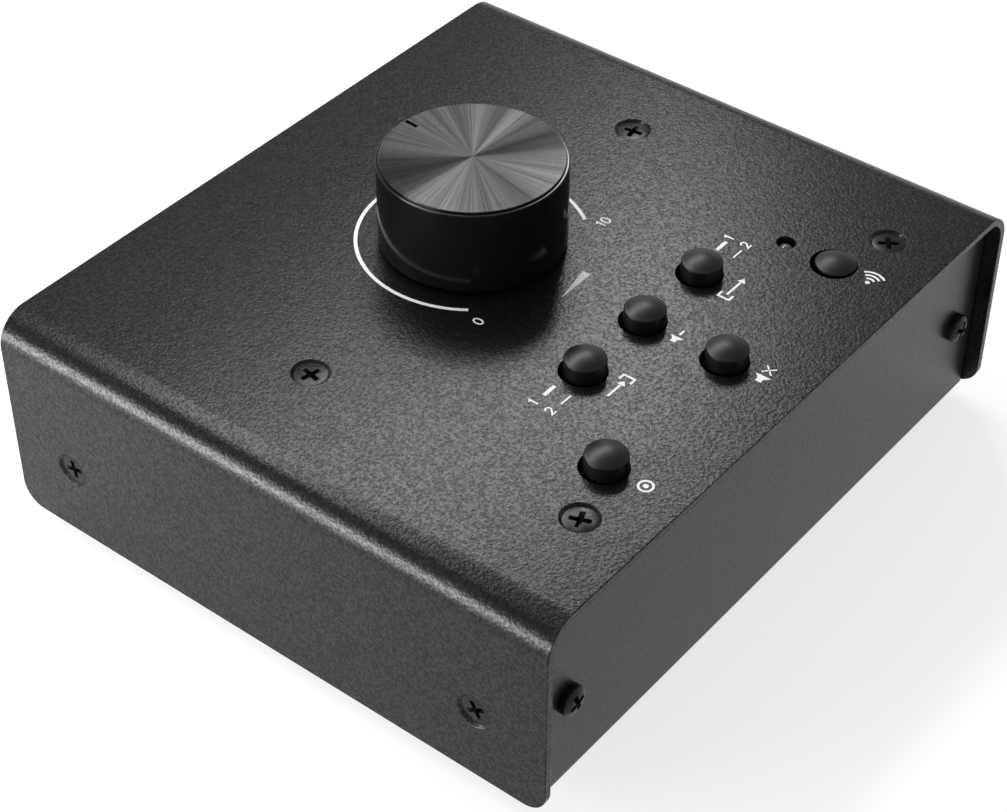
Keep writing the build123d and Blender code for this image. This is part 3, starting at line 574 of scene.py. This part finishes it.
def object_from(name, shape):
    """Object from a shape, shaded smooth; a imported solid's own normals are dropped."""
    data = bpy.data.meshes.new(name)
    shape.to_mesh(data)
    shape.free()
    if "custom_normal" in data.attributes:
        data.attributes.remove(data.attributes["custom_normal"])
    smoothed(data)
    piece = bpy.data.objects.new(name, data)
    bpy.context.scene.collection.objects.link(piece)
    return piece


def discard(piece):
    """Remove a helper object and its mesh."""
    data = piece.data
    bpy.data.objects.remove(piece)
    bpy.data.meshes.remove(data)


def applied(piece):
    """Turn the piece and its modifiers into one plain mesh."""
    evaluated = piece.evaluated_get(bpy.context.evaluated_depsgraph_get())
    data = bpy.data.meshes.new_from_object(evaluated)
    old = piece.data
    piece.modifiers.clear()
    piece.data = data
    data.name = old.name
    bpy.data.meshes.remove(old)
    return piece


def cut(piece, cutter, operation="DIFFERENCE"):
    """Cut one object with another, shade it anew and remove the cutter."""
    modifier = piece.modifiers.new("Cut", "BOOLEAN")
    modifier.operation = operation
    modifier.solver = "EXACT"
    modifier.object = cutter
    applied(piece)
    smoothed(piece.data)
    discard(cutter)
    return piece


def round_off(piece, width, angle=40.0):
    """Round the edges that are sharper than this many degrees."""
    modifier = piece.modifiers.new("Edges", "BEVEL")
    modifier.width = width
    modifier.segments = 2
    modifier.limit_method = "ANGLE"
    modifier.angle_limit = math.radians(angle)
    modifier.use_clamp_overlap = False
    modifier.harden_normals = True
    weigh = piece.modifiers.new("Even shading", "WEIGHTED_NORMAL")
    weigh.keep_sharp = True
    weigh.weight = 100
    return applied(piece)


def hand_over(piece, slot, body, *nodes):
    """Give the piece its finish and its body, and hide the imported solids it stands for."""
    piece.data.materials.clear()
    piece.data.materials.append(finish_named(slot))
    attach(piece, body)
    slot != "mark_ink"
    if nodes:
        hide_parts(*nodes)
    return piece


def dressed(node, width, name=None):
    """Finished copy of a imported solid, its faces joined and its edges a little rounded."""
    shape = bmesh.new()
    shape.from_mesh(NODES[node].data)
    bmesh.ops.remove_doubles(shape, verts=shape.verts, dist=2e-6)
    bmesh.ops.dissolve_limit(shape, angle_limit=math.radians(0.4), verts=shape.verts, edges=shape.edges)
    piece = object_from(name or node + "_dressed", shape)
    round_off(piece, width)
    return hand_over(piece, SLOTS[node], BODY_OF[node], node)


def span(node):
    """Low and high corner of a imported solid's box, in millimetres."""
    return [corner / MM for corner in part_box(node)]


def middle(node):
    """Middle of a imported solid's box, in millimetres."""
    low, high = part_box(node)
    return (low + high) / 2 / MM


# ------------ repeated parts
def seat_tree():
    """Node tree that sets one part on every seat, turned to face the way the seat does."""
    tree = bpy.data.node_groups.get("part_on_seats")
    if tree:
        return tree
    tree = bpy.data.node_groups.new("part_on_seats", "GeometryNodeTree")
    tree.is_modifier = True
    for label, kind in (
        ("Seats", "Geometry"),
        ("Part", "Object"),
        ("Size", "Float"),
        ("Turn spread", "Float"),
        ("Seed", "Int"),
        ("Finish", "Material"),
    ):
        tree.interface.new_socket(label, in_out="INPUT", socket_type="NodeSocket" + kind)
    tree.interface.new_socket("Parts", in_out="OUTPUT", socket_type="NodeSocketGeometry")

    def add(*details):
        return new_node(tree, *details).outputs

    given = add("NodeGroupInput")
    part = add("GeometryNodeObjectInfo", None, {"Object": given["Part"], "As Instance": True})
    facing = add("GeometryNodeInputNamedAttribute", {"data_type": "FLOAT_VECTOR"}, {"Name": "facing"})
    turn = add("GeometryNodeInputNamedAttribute", {"data_type": "FLOAT"}, {"Name": "turn"})
    other_way = add("ShaderNodeMath", {"operation": "MULTIPLY"}, {0: given["Turn spread"], 1: -1.0})
    chance = new_node(tree, "FunctionNodeRandomValue", {"data_type": "FLOAT"}, {"Seed": given["Seed"]})
    limits = [socket for socket in chance.inputs if socket.type == "VALUE" and socket.enabled]
    tree.links.new(other_way[0], limits[0])
    tree.links.new(given["Turn spread"], limits[1])
    drawn = next(socket for socket in chance.outputs if socket.enabled)
    angle = add("ShaderNodeMath", {"operation": "ADD"}, {0: turn["Attribute"], 1: drawn})
    spin = add("FunctionNodeAxisAngleToRotation", None, {"Axis": (0.0, 0.0, 1.0), "Angle": angle[0]})
    aim = add("FunctionNodeAlignRotationToVector", {"axis": "Z"}, {"Vector": facing["Attribute"]})
    both = add(
        "FunctionNodeRotateRotation", {"rotation_space": "LOCAL"}, {"Rotation": aim[0], "Rotate By": spin[0]}
    )
    copies = add(
        "GeometryNodeInstanceOnPoints",
        None,
        {"Points": given["Seats"], "Instance": part["Geometry"], "Rotation": both[0], "Scale": given["Size"]},
    )
    real = add("GeometryNodeRealizeInstances", None, {"Geometry": copies[0]})
    painted = add("GeometryNodeSetMaterial", None, {"Geometry": real[0], "Material": given["Finish"]})
    add("NodeGroupOutput", None, {"Parts": painted[0]})
    return tree


def on_seats(name, part, seats, slot, body, *nodes):
    """One piece made of a part set on every seat: place in millimetres, direction, turn in degrees."""
    points = bpy.data.meshes.new(name + "_seats")
    points.from_pydata([Vector(place) * MM for place, _, _ in seats], [], [])
    for label, kind in (("facing", "FLOAT_VECTOR"), ("turn", "FLOAT")):
        points.attributes.new(label, kind, "POINT")
    for index, (_, direction, degrees) in enumerate(seats):
        points.attributes["facing"].data[index].vector = direction
        points.attributes["turn"].data[index].value = math.radians(degrees)
    carrier = bpy.data.objects.new(name + "_carrier", points)
    bpy.context.scene.collection.objects.link(carrier)
    modifier = carrier.modifiers.new("Parts", "NODES")
    modifier.node_group = seat_tree()
    fasteners = setting("fasteners")
    given = {
        "Part": part,
        "Size": 1.0,
        "Turn spread": fasteners.turn_spread,
        "Seed": fasteners.seed,
        "Finish": finish_named(slot),
    }
    for item in modifier.node_group.interface.items_tree:
        if item.item_type == "SOCKET" and item.name in given:
            modifier[item.identifier] = given[item.name]
    bpy.context.view_layer.update()
    evaluated = carrier.evaluated_get(bpy.context.evaluated_depsgraph_get())
    data = bpy.data.meshes.new_from_object(evaluated)
    data.name = name
    if not data.polygons:
        raise RuntimeError(name + " came out empty")
    discard(carrier)
    discard(part)
    piece = bpy.data.objects.new(name, data)
    bpy.context.scene.collection.objects.link(piece)
    return hand_over(piece, slot, body, *nodes)


def thread(radius, top, tip):
    """Profile of a thread from its chamfered tip up."""
    pitch = setting("fasteners").thread_pitch / MM
    crest, root = radius - 0.02, radius - 0.28
    points = [(0.0, tip), (radius - 0.45, tip), (radius - 0.3, tip + 0.15)]
    height = tip + 0.35
    while height + pitch < top:
        points += [(crest, height), (root, height + pitch / 2)]
        height += pitch
    return points + [(crest, top)]


def cross_cutter(name, top):
    """Cutter for a cross recess that narrows downwards, its mouth at this height."""
    fasteners = setting("fasteners")
    arm = fasteners.recess_arm / MM
    half = fasteners.recess_half_width / MM
    above = (0.4, arm * 1.05, half * 1.1)
    mouth = (0.0, arm, half)
    bottom = (-fasteners.recess_depth / MM, arm * 0.42, half * 0.55)
    shape = bmesh.new()
    levels = []
    for height, reach, width in (above, mouth, bottom):
        corners = []
        for quarter in range(4):
            turn = Matrix.Rotation(math.pi / 2 * quarter, 2)
            corners += [turn @ Vector(spot) for spot in ((reach, -width), (reach, width), (width, width))]
        levels.append([shape.verts.new((x * MM, y * MM, (top + height) * MM)) for x, y in corners])
    shape.faces.new(levels[0])
    shape.faces.new(levels[-1][::-1])
    for high, low in zip(levels, levels[1:]):
        for step in range(len(high)):
            after = (step + 1) % len(high)
            shape.faces.new((high[step], low[step], low[after], high[after]))
    bmesh.ops.recalc_face_normals(shape, faces=shape.faces)
    return object_from(name, shape)


def screw(name, profile, top):
    """One screw with a cross recess, its seat on the XY plane."""
    piece = object_from(name, turned(profile, 64))
    return cut(piece, cross_cutter(name + "_cutter", top))


def flat_screw():
    """Countersunk screw, sunk below the face it sits in."""
    face, neck, tip = -0.45, -1.5, -6.45
    profile = thread(SCREW_RADIUS, neck, tip)
    profile += [(1.92, neck), (2.93, face - 0.04), (2.94, face - 0.01), (2.9, face), (0.0, face)]
    return screw("flat_screw", profile, face)


def pan_screw():
    """Pan-head screw, proud of the face it sits on."""
    top, tip = 2.1, -6.0
    profile = thread(SCREW_RADIUS, 0.0, tip)
    profile += rounded(
        [(2.8, 0.0, 0.0), (2.8, 1.45, 0.55), (1.6, top - 0.08, 0.0), (0.8, top - 0.01, 0.0), (0.0, top, 0.0)]
    )
    return screw("pan_screw", profile, top)


def hex_nut():
    """Hexagon nut of a jack, its seat on the XY plane, its bore chamfered at the top."""
    height, half_across, corner = 2.3, 6.0, 6.95
    bore, mouth, past = 4.62, 4.95, 1.0
    profile = [(0.0, 0.0), (6.7, 0.0), (corner, 0.25), (corner, height - 0.55)]
    profile += [(half_across, height), (0.0, height)]
    nut = object_from("hex_nut", turned(profile))
    reach = half_across / math.cos(math.pi / 6)
    turns = [math.pi / 3 * step for step in range(6)]
    hexagon = bmesh.new()
    prism(hexagon, [(reach * math.cos(turn), reach * math.sin(turn)) for turn in turns], -past, height + past)
    cut(nut, object_from("hexagon", hexagon), "INTERSECT")
    profile = [(0.0, -past), (bore, -past), (bore, 1.7), (mouth, height + 0.02)]
    profile += [(mouth, height + past), (0.0, height + past)]
    cut(nut, object_from("nut_bore", turned(profile, 64)))
    return round_off(nut, 0.08 * MM, 30.0)


# ------------ marks
def stroke(shape, path, width, low, high, closed=False):
    """Add a line of even width along a path, mitred at its corners."""
    path = [Vector(spot) for spot in path]
    count = len(path)
    left, right = [], []
    for index, here in enumerate(path):
        back = path[index - 1] if closed or index else here
        on = path[(index + 1) % count] if closed or index < count - 1 else here
        before = (here - back).normalized() if back != here else (on - here).normalized()
        after = (on - here).normalized() if on != here else before
        along = (before + after).normalized()
        across = Vector((-along.y, along.x))
        reach = width / 2 / max(0.35, along.dot(after))
        left.append(here + across * reach)
        right.append(here - across * reach)
    sides = ((left, low), (right, low), (right, high), (left, high))
    rails = []
    for side, height in sides:
        rails.append([shape.verts.new((spot.x * MM, spot.y * MM, height * MM)) for spot in side])
    for index in range(count if closed else count - 1):
        after = (index + 1) % count
        for one, two in zip(rails, rails[1:] + rails[:1]):
            shape.faces.new((one[index], one[after], two[after], two[index]))
    if not closed:
        for end in (0, -1):
            shape.faces.new([rail[end] for rail in rails])


def arc(centre, radius, first, last, steps=24, squeeze=1.0):
    """Points of an arc, in degrees."""
    spots = []
    for step in range(steps + 1):
        angle = math.radians(first + (last - first) * step / steps)
        spots.append((centre[0] + squeeze * radius * math.cos(angle), centre[1] + radius * math.sin(angle)))
    return spots


# Each figure is a list of lines, one unit high, with whether the line is closed.
FIGURES = {
    "0": [(arc((0.0, 0.0), 0.5, 0, 345, 23, 0.62), True)],
    "1": [([(-0.2, 0.28), (0.06, 0.5), (0.06, -0.5)], False)],
    "2": [(arc((0.0, 0.2), 0.3, 165, -35, 12) + [(-0.3, -0.5), (0.34, -0.5)], False)],
}
SPEAKER = [(-1.05, -0.3), (-0.62, -0.3), (-0.1, -0.8), (-0.1, 0.8), (-0.62, 0.3), (-1.05, 0.3)]
ARROW = [(0.0, -0.55), (0.75, 0.0), (0.0, 0.55)]
WEDGE = [(-4.2, -0.75), (4.2, -0.75), (4.2, 0.95)]
SIGN_LINE = 0.42
DIAL_CENTRE = (0.88, 10.88)


class Printer:
    """Lays printed marks on the cover, all in one mesh; places and sizes are in millimetres."""

    def __init__(self):
        marks = setting("marks")
        self.shape = bmesh.new()
        self.low = COVER_TOP - 0.01
        self.high = COVER_TOP + marks.thickness / MM
        self.width = marks.stroke / MM

    def line(self, path, width=None, closed=False):
        stroke(self.shape, path, width or self.width, self.low, self.high, closed)

    def patch(self, outline, centre, scale=1.0):
        spots = [(centre[0] + scale * x, centre[1] + scale * y) for x, y in outline]
        prism(self.shape, spots, self.low, self.high)

    def path(self, points, centre, scale=1.0, closed=False, width=None):
        self.line([(centre[0] + scale * x, centre[1] + scale * y) for x, y in points], width, closed)

    def figures(self, text, centre, height):
        pitch = 0.78 * height
        for index, figure in enumerate(text):
            middle_x = centre[0] + (index - (len(text) - 1) / 2) * pitch
            for points, closed in FIGURES[figure]:
                self.path(points, (middle_x, centre[1]), height, closed)

    def bar(self, centre, width, height):
        half_x, half_y = width / 2, height / 2
        self.patch([(-half_x, -half_y), (half_x, -half_y), (half_x, half_y), (-half_x, half_y)], centre)

    def arrow(self, place, back, ends, tail, head):
        """An arrow along X with a bracket; the numbers are places in X."""
        half = 1.15
        self.path([(ends, half), (back, half), (back, -half), (ends, -half)], place, width=SIGN_LINE)
        self.path([(tail, 0.0), (head + 0.1, 0.0)], place, width=SIGN_LINE)
        self.patch(ARROW, (place[0] + head, place[1]), 1.5)


# ------------ operators
class CONTROLLER_OT_case(bpy.types.Operator):
    """Make the finished top cover and chassis"""

    bl_idname = "controller.case"
    bl_label = "Case sheets"

    def execute(self, context):
        case = setting("case")
        dressed("top_cover", case.cut_edge, "cover_sheet")
        dressed("chassis", case.cut_edge, "chassis_sheet")
        return {"FINISHED"}


class CONTROLLER_OT_screws(bpy.types.Operator):
    """Set the countersunk and pan-head screws in their seats"""

    bl_idname = "controller.screws"
    bl_label = "Screws"

    def execute(self, context):
        flat_head, pan_head = 2.97, 2.8
        sides = (-1.0, 1.0)

        low, high = span("cover_screws")
        places = product((low.x + flat_head, high.x - flat_head), (low.y + flat_head, high.y - flat_head))
        turns = (22.0, -12.0, 34.0, 8.0)
        seats = [((x, y, COVER_TOP), (0.0, 0.0, 1.0), turn) for (x, y), turn in zip(places, turns)]
        on_seats("cover_screw_heads", flat_screw(), seats, "black_screw", "case", "cover_screws")

        low, high = span("side_screws")
        face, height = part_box("top_cover")[1].x / MM, (low.z + high.z) / 2
        places = product(sides, (low.y + flat_head, high.y - flat_head))
        turns = (30.0, 12.0, -20.0, 41.0)
        seats = [((side * face, y, height), (side, 0.0, 0.0), turn) for (side, y), turn in zip(places, turns)]
        on_seats("side_screw_heads", flat_screw(), seats, "black_screw", "case", "side_screws")

        low, high = span("panel_screws")
        face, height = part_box("chassis")[1].y / MM, (low.z + high.z) / 2
        places = product((low.x + pan_head, high.x - pan_head), sides)
        turns = (18.0, 5.0, -25.0, 37.0)
        seats = [((x, side * face, height), (0.0, side, 0.0), turn) for (x, side), turn in zip(places, turns)]
        on_seats("panel_screw_heads", pan_screw(), seats, "black_screw", "case", "panel_screws")
        return {"FINISHED"}


class CONTROLLER_OT_feet(bpy.types.Operator):
    """Set the four rubber feet"""

    bl_idname = "controller.feet"
    bl_label = "Feet"

    def execute(self, context):
        height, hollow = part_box(FEET[0])[1].z / MM, 0.7
        profile = [(0.0, hollow, 0.0), (1.9, hollow, 0.2), (2.3, 0.0, 0.2), (5.2, 0.0, 0.6)]
        profile += [(6.0, height, 0.0), (0.0, height, 0.0)]
        foot = object_from("foot", turned(rounded(profile), 64))
        seats = [((middle(node).x, middle(node).y, 0.0), (0.0, 0.0, 1.0), 0.0) for node in FEET]
        on_seats("rubber_feet", foot, seats, "foot_rubber", "case", *FEET)
        return {"FINISHED"}


class CONTROLLER_OT_buttons(bpy.types.Operator):
    """Make the domed button caps"""

    bl_idname = "controller.buttons"
    bl_label = "Button caps"

    def execute(self, context):
        edge = setting("controls").cap_edge / MM
        for key in (*RAISED_KEYS, "wireless"):
            node = key + "_button"
            low, high = span(node)
            radius = (high.x - low.x) / 2
            rise = 0.8 if key == "wireless" else 0.9
            rim = high.z - rise
            bore, roof = 2.7, rim - 1.3
            profile = dome(radius, rim, rise, edge)
            profile += [(radius, low.z + 0.1), (radius - 0.1, low.z)]
            profile += [(bore, low.z), (bore, roof), (0.0, roof)]
            piece = object_from(key + "_cap", moved(turned(profile, 112), middle(node)))
            hand_over(piece, "button_plastic", key + "_key", node)
        return {"FINISHED"}


class CONTROLLER_OT_knob(bpy.types.Operator):
    """Make the volume knob, its spun disc and its pointer"""

    bl_idname = "controller.knob"
    bl_label = "Volume knob"

    def execute(self, context):
        controls = setting("controls")
        low, high = span("volume_knob")
        disc_low, disc_high = span("knob_disc")
        centre = middle("volume_knob")
        radius = (high.x - low.x) / 2
        disc = (disc_high.x - disc_low.x) / 2
        seat = disc_low.z
        pocket, inner, roof = disc + 0.03, radius - 1.8, seat - 2.0
        hub, shaft, hub_foot = 5.53, 3.03, 50.0
        profile = [(0.0, seat, 0.0), (pocket, seat, 0.0), (pocket, high.z, 0.0)]
        profile += [(radius, high.z, controls.knob_edge / MM), (radius, low.z, 0.3)]
        profile += [(inner, low.z, 0.2), (inner, roof, 0.6), (hub, roof, 0.4), (hub, hub_foot, 0.2)]
        profile += [(shaft, hub_foot, 0.0), (shaft, roof, 0.0), (0.0, roof, 0.0)]
        skirt = object_from("knob_skirt", moved(turned(rounded(profile), 192), centre))
        hand_over(skirt, "knob_plastic", "volume_dial", "volume_knob")

        chamfer, face = controls.disc_chamfer / MM, disc_high.z
        profile = [(0.0, seat), (disc, seat), (disc, face - chamfer), (disc - chamfer, face)]
        profile += [(disc * 0.66, face), (disc * 0.33, face), (0.0, face)]
        plate = object_from("spun_plate", moved(turned(profile, 192), centre))
        reach, half = controls.pointer_length / MM, controls.pointer_width / MM / 2
        outer = disc - chamfer - 0.15
        outline = [(outer - reach, -half), (outer, -half), (outer, half), (outer - reach, half)]
        turn = Matrix.Rotation(controls.pointer_angle, 3, "Z")
        for label, bottom, top in (("groove", -0.5, 0.3), ("pointer_inlay", -0.5, -0.4)):
            slab = bmesh.new()
            trim = 0.0 if label == "groove" else 0.01
            spots = [(x, y - math.copysign(trim, y)) for x, y in outline]
            prism(slab, spots, face + bottom, face + top)
            bmesh.ops.rotate(slab, verts=slab.verts, cent=(0.0, 0.0, 0.0), matrix=turn)
            bmesh.ops.recalc_face_normals(slab, faces=slab.faces)
            made = object_from(label, moved(slab, centre))
            if label == "groove":
                cut(plate, made)
            else:
                hand_over(made, "knob_plastic", "volume_dial")
        hand_over(plate, "spun_disc", "volume_dial", "knob_disc")
        return {"FINISHED"}


class CONTROLLER_OT_lamp(bpy.types.Operator):
    """Make the status lamp with its leads"""

    bl_idname = "controller.lamp"
    bl_label = "Status lamp"

    def execute(self, context):
        low, high = span("status_lamp")
        radius, flange, lead = 1.5, 1.9, 0.25
        foot = high.z - 5.3
        profile = [(0.0, foot), (flange, foot), (flange, foot + 1.0), (radius, foot + 1.0)]
        crown = arc((0.0, high.z - radius), radius, 0, 90, 12)
        profile += [*crown[:-1], (0.0, high.z)]
        shape = turned(profile, 64)
        for side in (-1.27, 1.27):
            outline = [(side + lead * x, lead * y) for x, y in ((-1, -1), (1, -1), (1, 1), (-1, 1))]
            prism(shape, outline, low.z, foot + 0.4)
        lens = object_from("lamp_lens", moved(shape, middle("status_lamp")))
        hand_over(lens, "lamp_epoxy", "case", "status_lamp")
        return {"FINISHED"}


class CONTROLLER_OT_marks(bpy.types.Operator):
    """Print the dial's scale, figures and signs on the cover"""

    bl_idname = "controller.marks"
    bl_label = "Printed marks"

    def execute(self, context):
        marks = setting("marks")
        press = Printer()
        press.line(arc(DIAL_CENTRE, marks.arc_radius / MM, 217, -37, 180), marks.line / MM)
        press.figures("0", (-17.3, -5.1), 1.9)
        press.figures("10", (19.1, -4.9), 1.9)
        press.patch(WEDGE, (1.1, -11.6))
        for figure_x, bar_x, top in ((29.5, 26.6, -25.4), (-28.2, -24.2, -25.6)):
            press.figures("1", (figure_x, top), 1.8)
            press.figures("2", (figure_x, top - 3.5), 1.8)
            press.bar((bar_x, top - 0.3), 3.05, 0.7)
            press.bar((bar_x - 0.2, top - 3.9), 2.75, 0.3)
        # Output: an arrow leaving a bracket. Source: an arrow going into one.
        press.arrow((17.8, -34.4), back=-3.3, ends=-1.9, tail=-2.2, head=2.2)
        press.arrow((-16.1, -34.3), back=3.0, ends=1.6, tail=-3.2, head=0.5)
        # Dim: a speaker with a minus. Mute: a speaker with a cross.
        dim, mute = (0.8, -34.4), (1.4, -51.7)
        press.patch(SPEAKER, dim, 1.6)
        press.path([(0.5, 0.0), (1.9, 0.0)], dim, width=SIGN_LINE)
        press.patch(SPEAKER, mute, 1.9)
        press.path([(0.6, 0.95), (2.5, -0.95)], mute)
        press.path([(0.6, -0.95), (2.5, 0.95)], mute)
        # One channel: a ring with a dot. Wireless: a dot with waves.
        mono, wireless = (-33.2, -52.2), (35.4, -51.8)
        press.path(arc((0.0, 0.0), 1.25, 0, 350, 35), mono, closed=True, width=SIGN_LINE)
        press.patch(arc((0.0, 0.0), 0.5, 0, 345, 23), mono)
        dot = (-1.6, 0.0)
        press.patch(arc(dot, 0.45, 0, 345, 23), wireless)
        for radius in (1.2, 2.15, 3.1):
            press.path(arc(dot, radius, -42, 42, 14), wireless, width=SIGN_LINE)
        bmesh.ops.recalc_face_normals(press.shape, faces=press.shape.faces)
        hand_over(object_from("printed_marks", press.shape), "mark_ink", "case")
        return {"FINISHED"}


class CONTROLLER_OT_sockets(bpy.types.Operator):
    """Make the rear sockets and their nuts"""

    bl_idname = "controller.sockets"
    bl_label = "Rear sockets"

    def execute(self, context):
        for node in (*JACKS, "input_b_jack", "power_socket"):
            dressed(node, 0.18 * MM)
        low, high = span("jack_nuts")
        face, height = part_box("jack_nuts")[0].y / MM, (low.z + high.z) / 2
        seats = [((middle(node).x, face, height), (0.0, 1.0, 0.0), 0.0) for node in JACKS]
        on_seats("socket_nuts", hex_nut(), seats, "nut_nickel", "case", "jack_nuts")
        return {"FINISHED"}


class CONTROLLER_OT_inner(bpy.types.Operator):
    """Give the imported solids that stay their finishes"""

    bl_idname = "controller.inner"
    bl_label = "Inner parts"

    def execute(self, context):
        for name, node in NODES.items():
            if node.hide_render:
                continue
            node.data.materials.clear()
            node.data.materials.append(finish_named(SLOTS[name]))
        return {"FINISHED"}


def softbox(name, azimuth, elevation, distance, width, height, brightness):
    """Area light that faces the cover's middle; angles in degrees, azimuth from +X, sizes in metres."""
    data = bpy.data.lights.new(name, "AREA")
    data.shape = "RECTANGLE"
    data.size, data.size_y = width, height
    data.energy = brightness * math.pi * width * height
    light = bpy.data.objects.new(name, data)
    around, up = math.radians(azimuth), math.radians(elevation)
    away = Vector((math.cos(up) * math.cos(around), math.cos(up) * math.sin(around), math.sin(up)))
    light.location = Vector((0.0, 0.0, COVER_TOP * MM)) + away * distance
    light.rotation_euler = away.to_track_quat("Z", "Y").to_euler()
    bpy.context.scene.collection.objects.link(light)


class CONTROLLER_OT_stage(bpy.types.Operator):
    """Set up the floor, the lights and the camera"""

    bl_idname = "controller.stage"
    bl_label = "Stage"

    def execute(self, context):
        stage = setting("stage")
        scene = context.scene
        scene.view_settings.view_transform = "Standard"
        world = bpy.data.worlds.new("pale_surround")
        world.use_nodes = True
        backdrop = world.node_tree.nodes["Background"]
        backdrop.inputs["Color"].default_value = (1.0, 1.0, 1.0, 1.0)
        backdrop.inputs["Strength"].default_value = stage.surround
        scene.world = world

        flat, bend, wall_top = 2500.0, 700.0, 1000.0
        sweep = [(0.0, 0.0), *arc((flat, bend), bend, -90, 0, 16), (flat + bend, wall_top)]
        floor = object_from("floor", turned(sweep, 128))
        finish = Finish("floor_paint")
        cloud = finish.spread(finish.noise(400.0), 0.28, 0.32)
        tint = finish.add("CombineColor", inputs={0: cloud, 1: cloud, 2: cloud})
        floor.data.materials.append(
            finish.surface(tint, 0.8, Emission_Color=(1.0, 1.0, 1.0, 1.0), Emission_Strength=stage.floor)
        )

        for name, azimuth, elevation, distance, width, height, level in (
            ("key_softbox", 29.9, 40.9, 0.471, 0.044, 0.110, stage.key),
            ("strip_softbox", 86.9, 56.9, 0.306, 0.413, 0.058, stage.strip),
            ("low_softbox", 156.6, 0.3, 0.261, 0.198, 0.064, stage.low),
        ):
            softbox(name, azimuth, elevation, distance, width, height, level)

        data = bpy.data.cameras.new("view_camera")
        data.lens = LENS
        data.sensor_width = 36.0
        data.shift_x, data.shift_y = CAMERA_SHIFT
        data.clip_start, data.clip_end = 0.01, 50.0
        camera = bpy.data.objects.new("view_camera", data)
        camera.location = Vector(CAMERA_PLACE) * MM
        camera.rotation_euler = [math.radians(angle) for angle in CAMERA_TURN]
        scene.collection.objects.link(camera)
        scene.camera = camera
        return {"FINISHED"}


class CONTROLLER_PT_panel(bpy.types.Panel):
    """Lists the steps that build the controller"""

    bl_idname = "CONTROLLER_PT_panel"
    bl_label = "Monitor controller"
    bl_space_type = "VIEW_3D"
    bl_region_type = "UI"
    bl_category = "Controller"

    def draw(self, context):
        for group, kind in SETTINGS.items():
            box = self.layout.box()
            for name in kind.__annotations__:
                box.prop(getattr(context.scene, group), name)
        for operator in OPERATORS:
            self.layout.operator(operator.bl_idname)


OPERATORS = (
    CONTROLLER_OT_case,
    CONTROLLER_OT_screws,
    CONTROLLER_OT_feet,
    CONTROLLER_OT_buttons,
    CONTROLLER_OT_knob,
    CONTROLLER_OT_lamp,
    CONTROLLER_OT_marks,
    CONTROLLER_OT_sockets,
    CONTROLLER_OT_inner,
    CONTROLLER_OT_stage,
)


def register():
    for kind in (*SETTINGS.values(), *OPERATORS, CONTROLLER_PT_panel):
        bpy.utils.register_class(kind)
    for group, kind in SETTINGS.items():
        setattr(bpy.types.Scene, group, PointerProperty(type=kind))


def unregister():
    for group in SETTINGS:
        delattr(bpy.types.Scene, group)
    for kind in (CONTROLLER_PT_panel, *reversed(OPERATORS), *SETTINGS.values()):
        bpy.utils.unregister_class(kind)


def main():
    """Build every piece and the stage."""
    register()
    for operator in OPERATORS:
        group, name = operator.bl_idname.split(".")
        getattr(getattr(bpy.ops, group), name)()


if __name__ == "__main__":
    main()
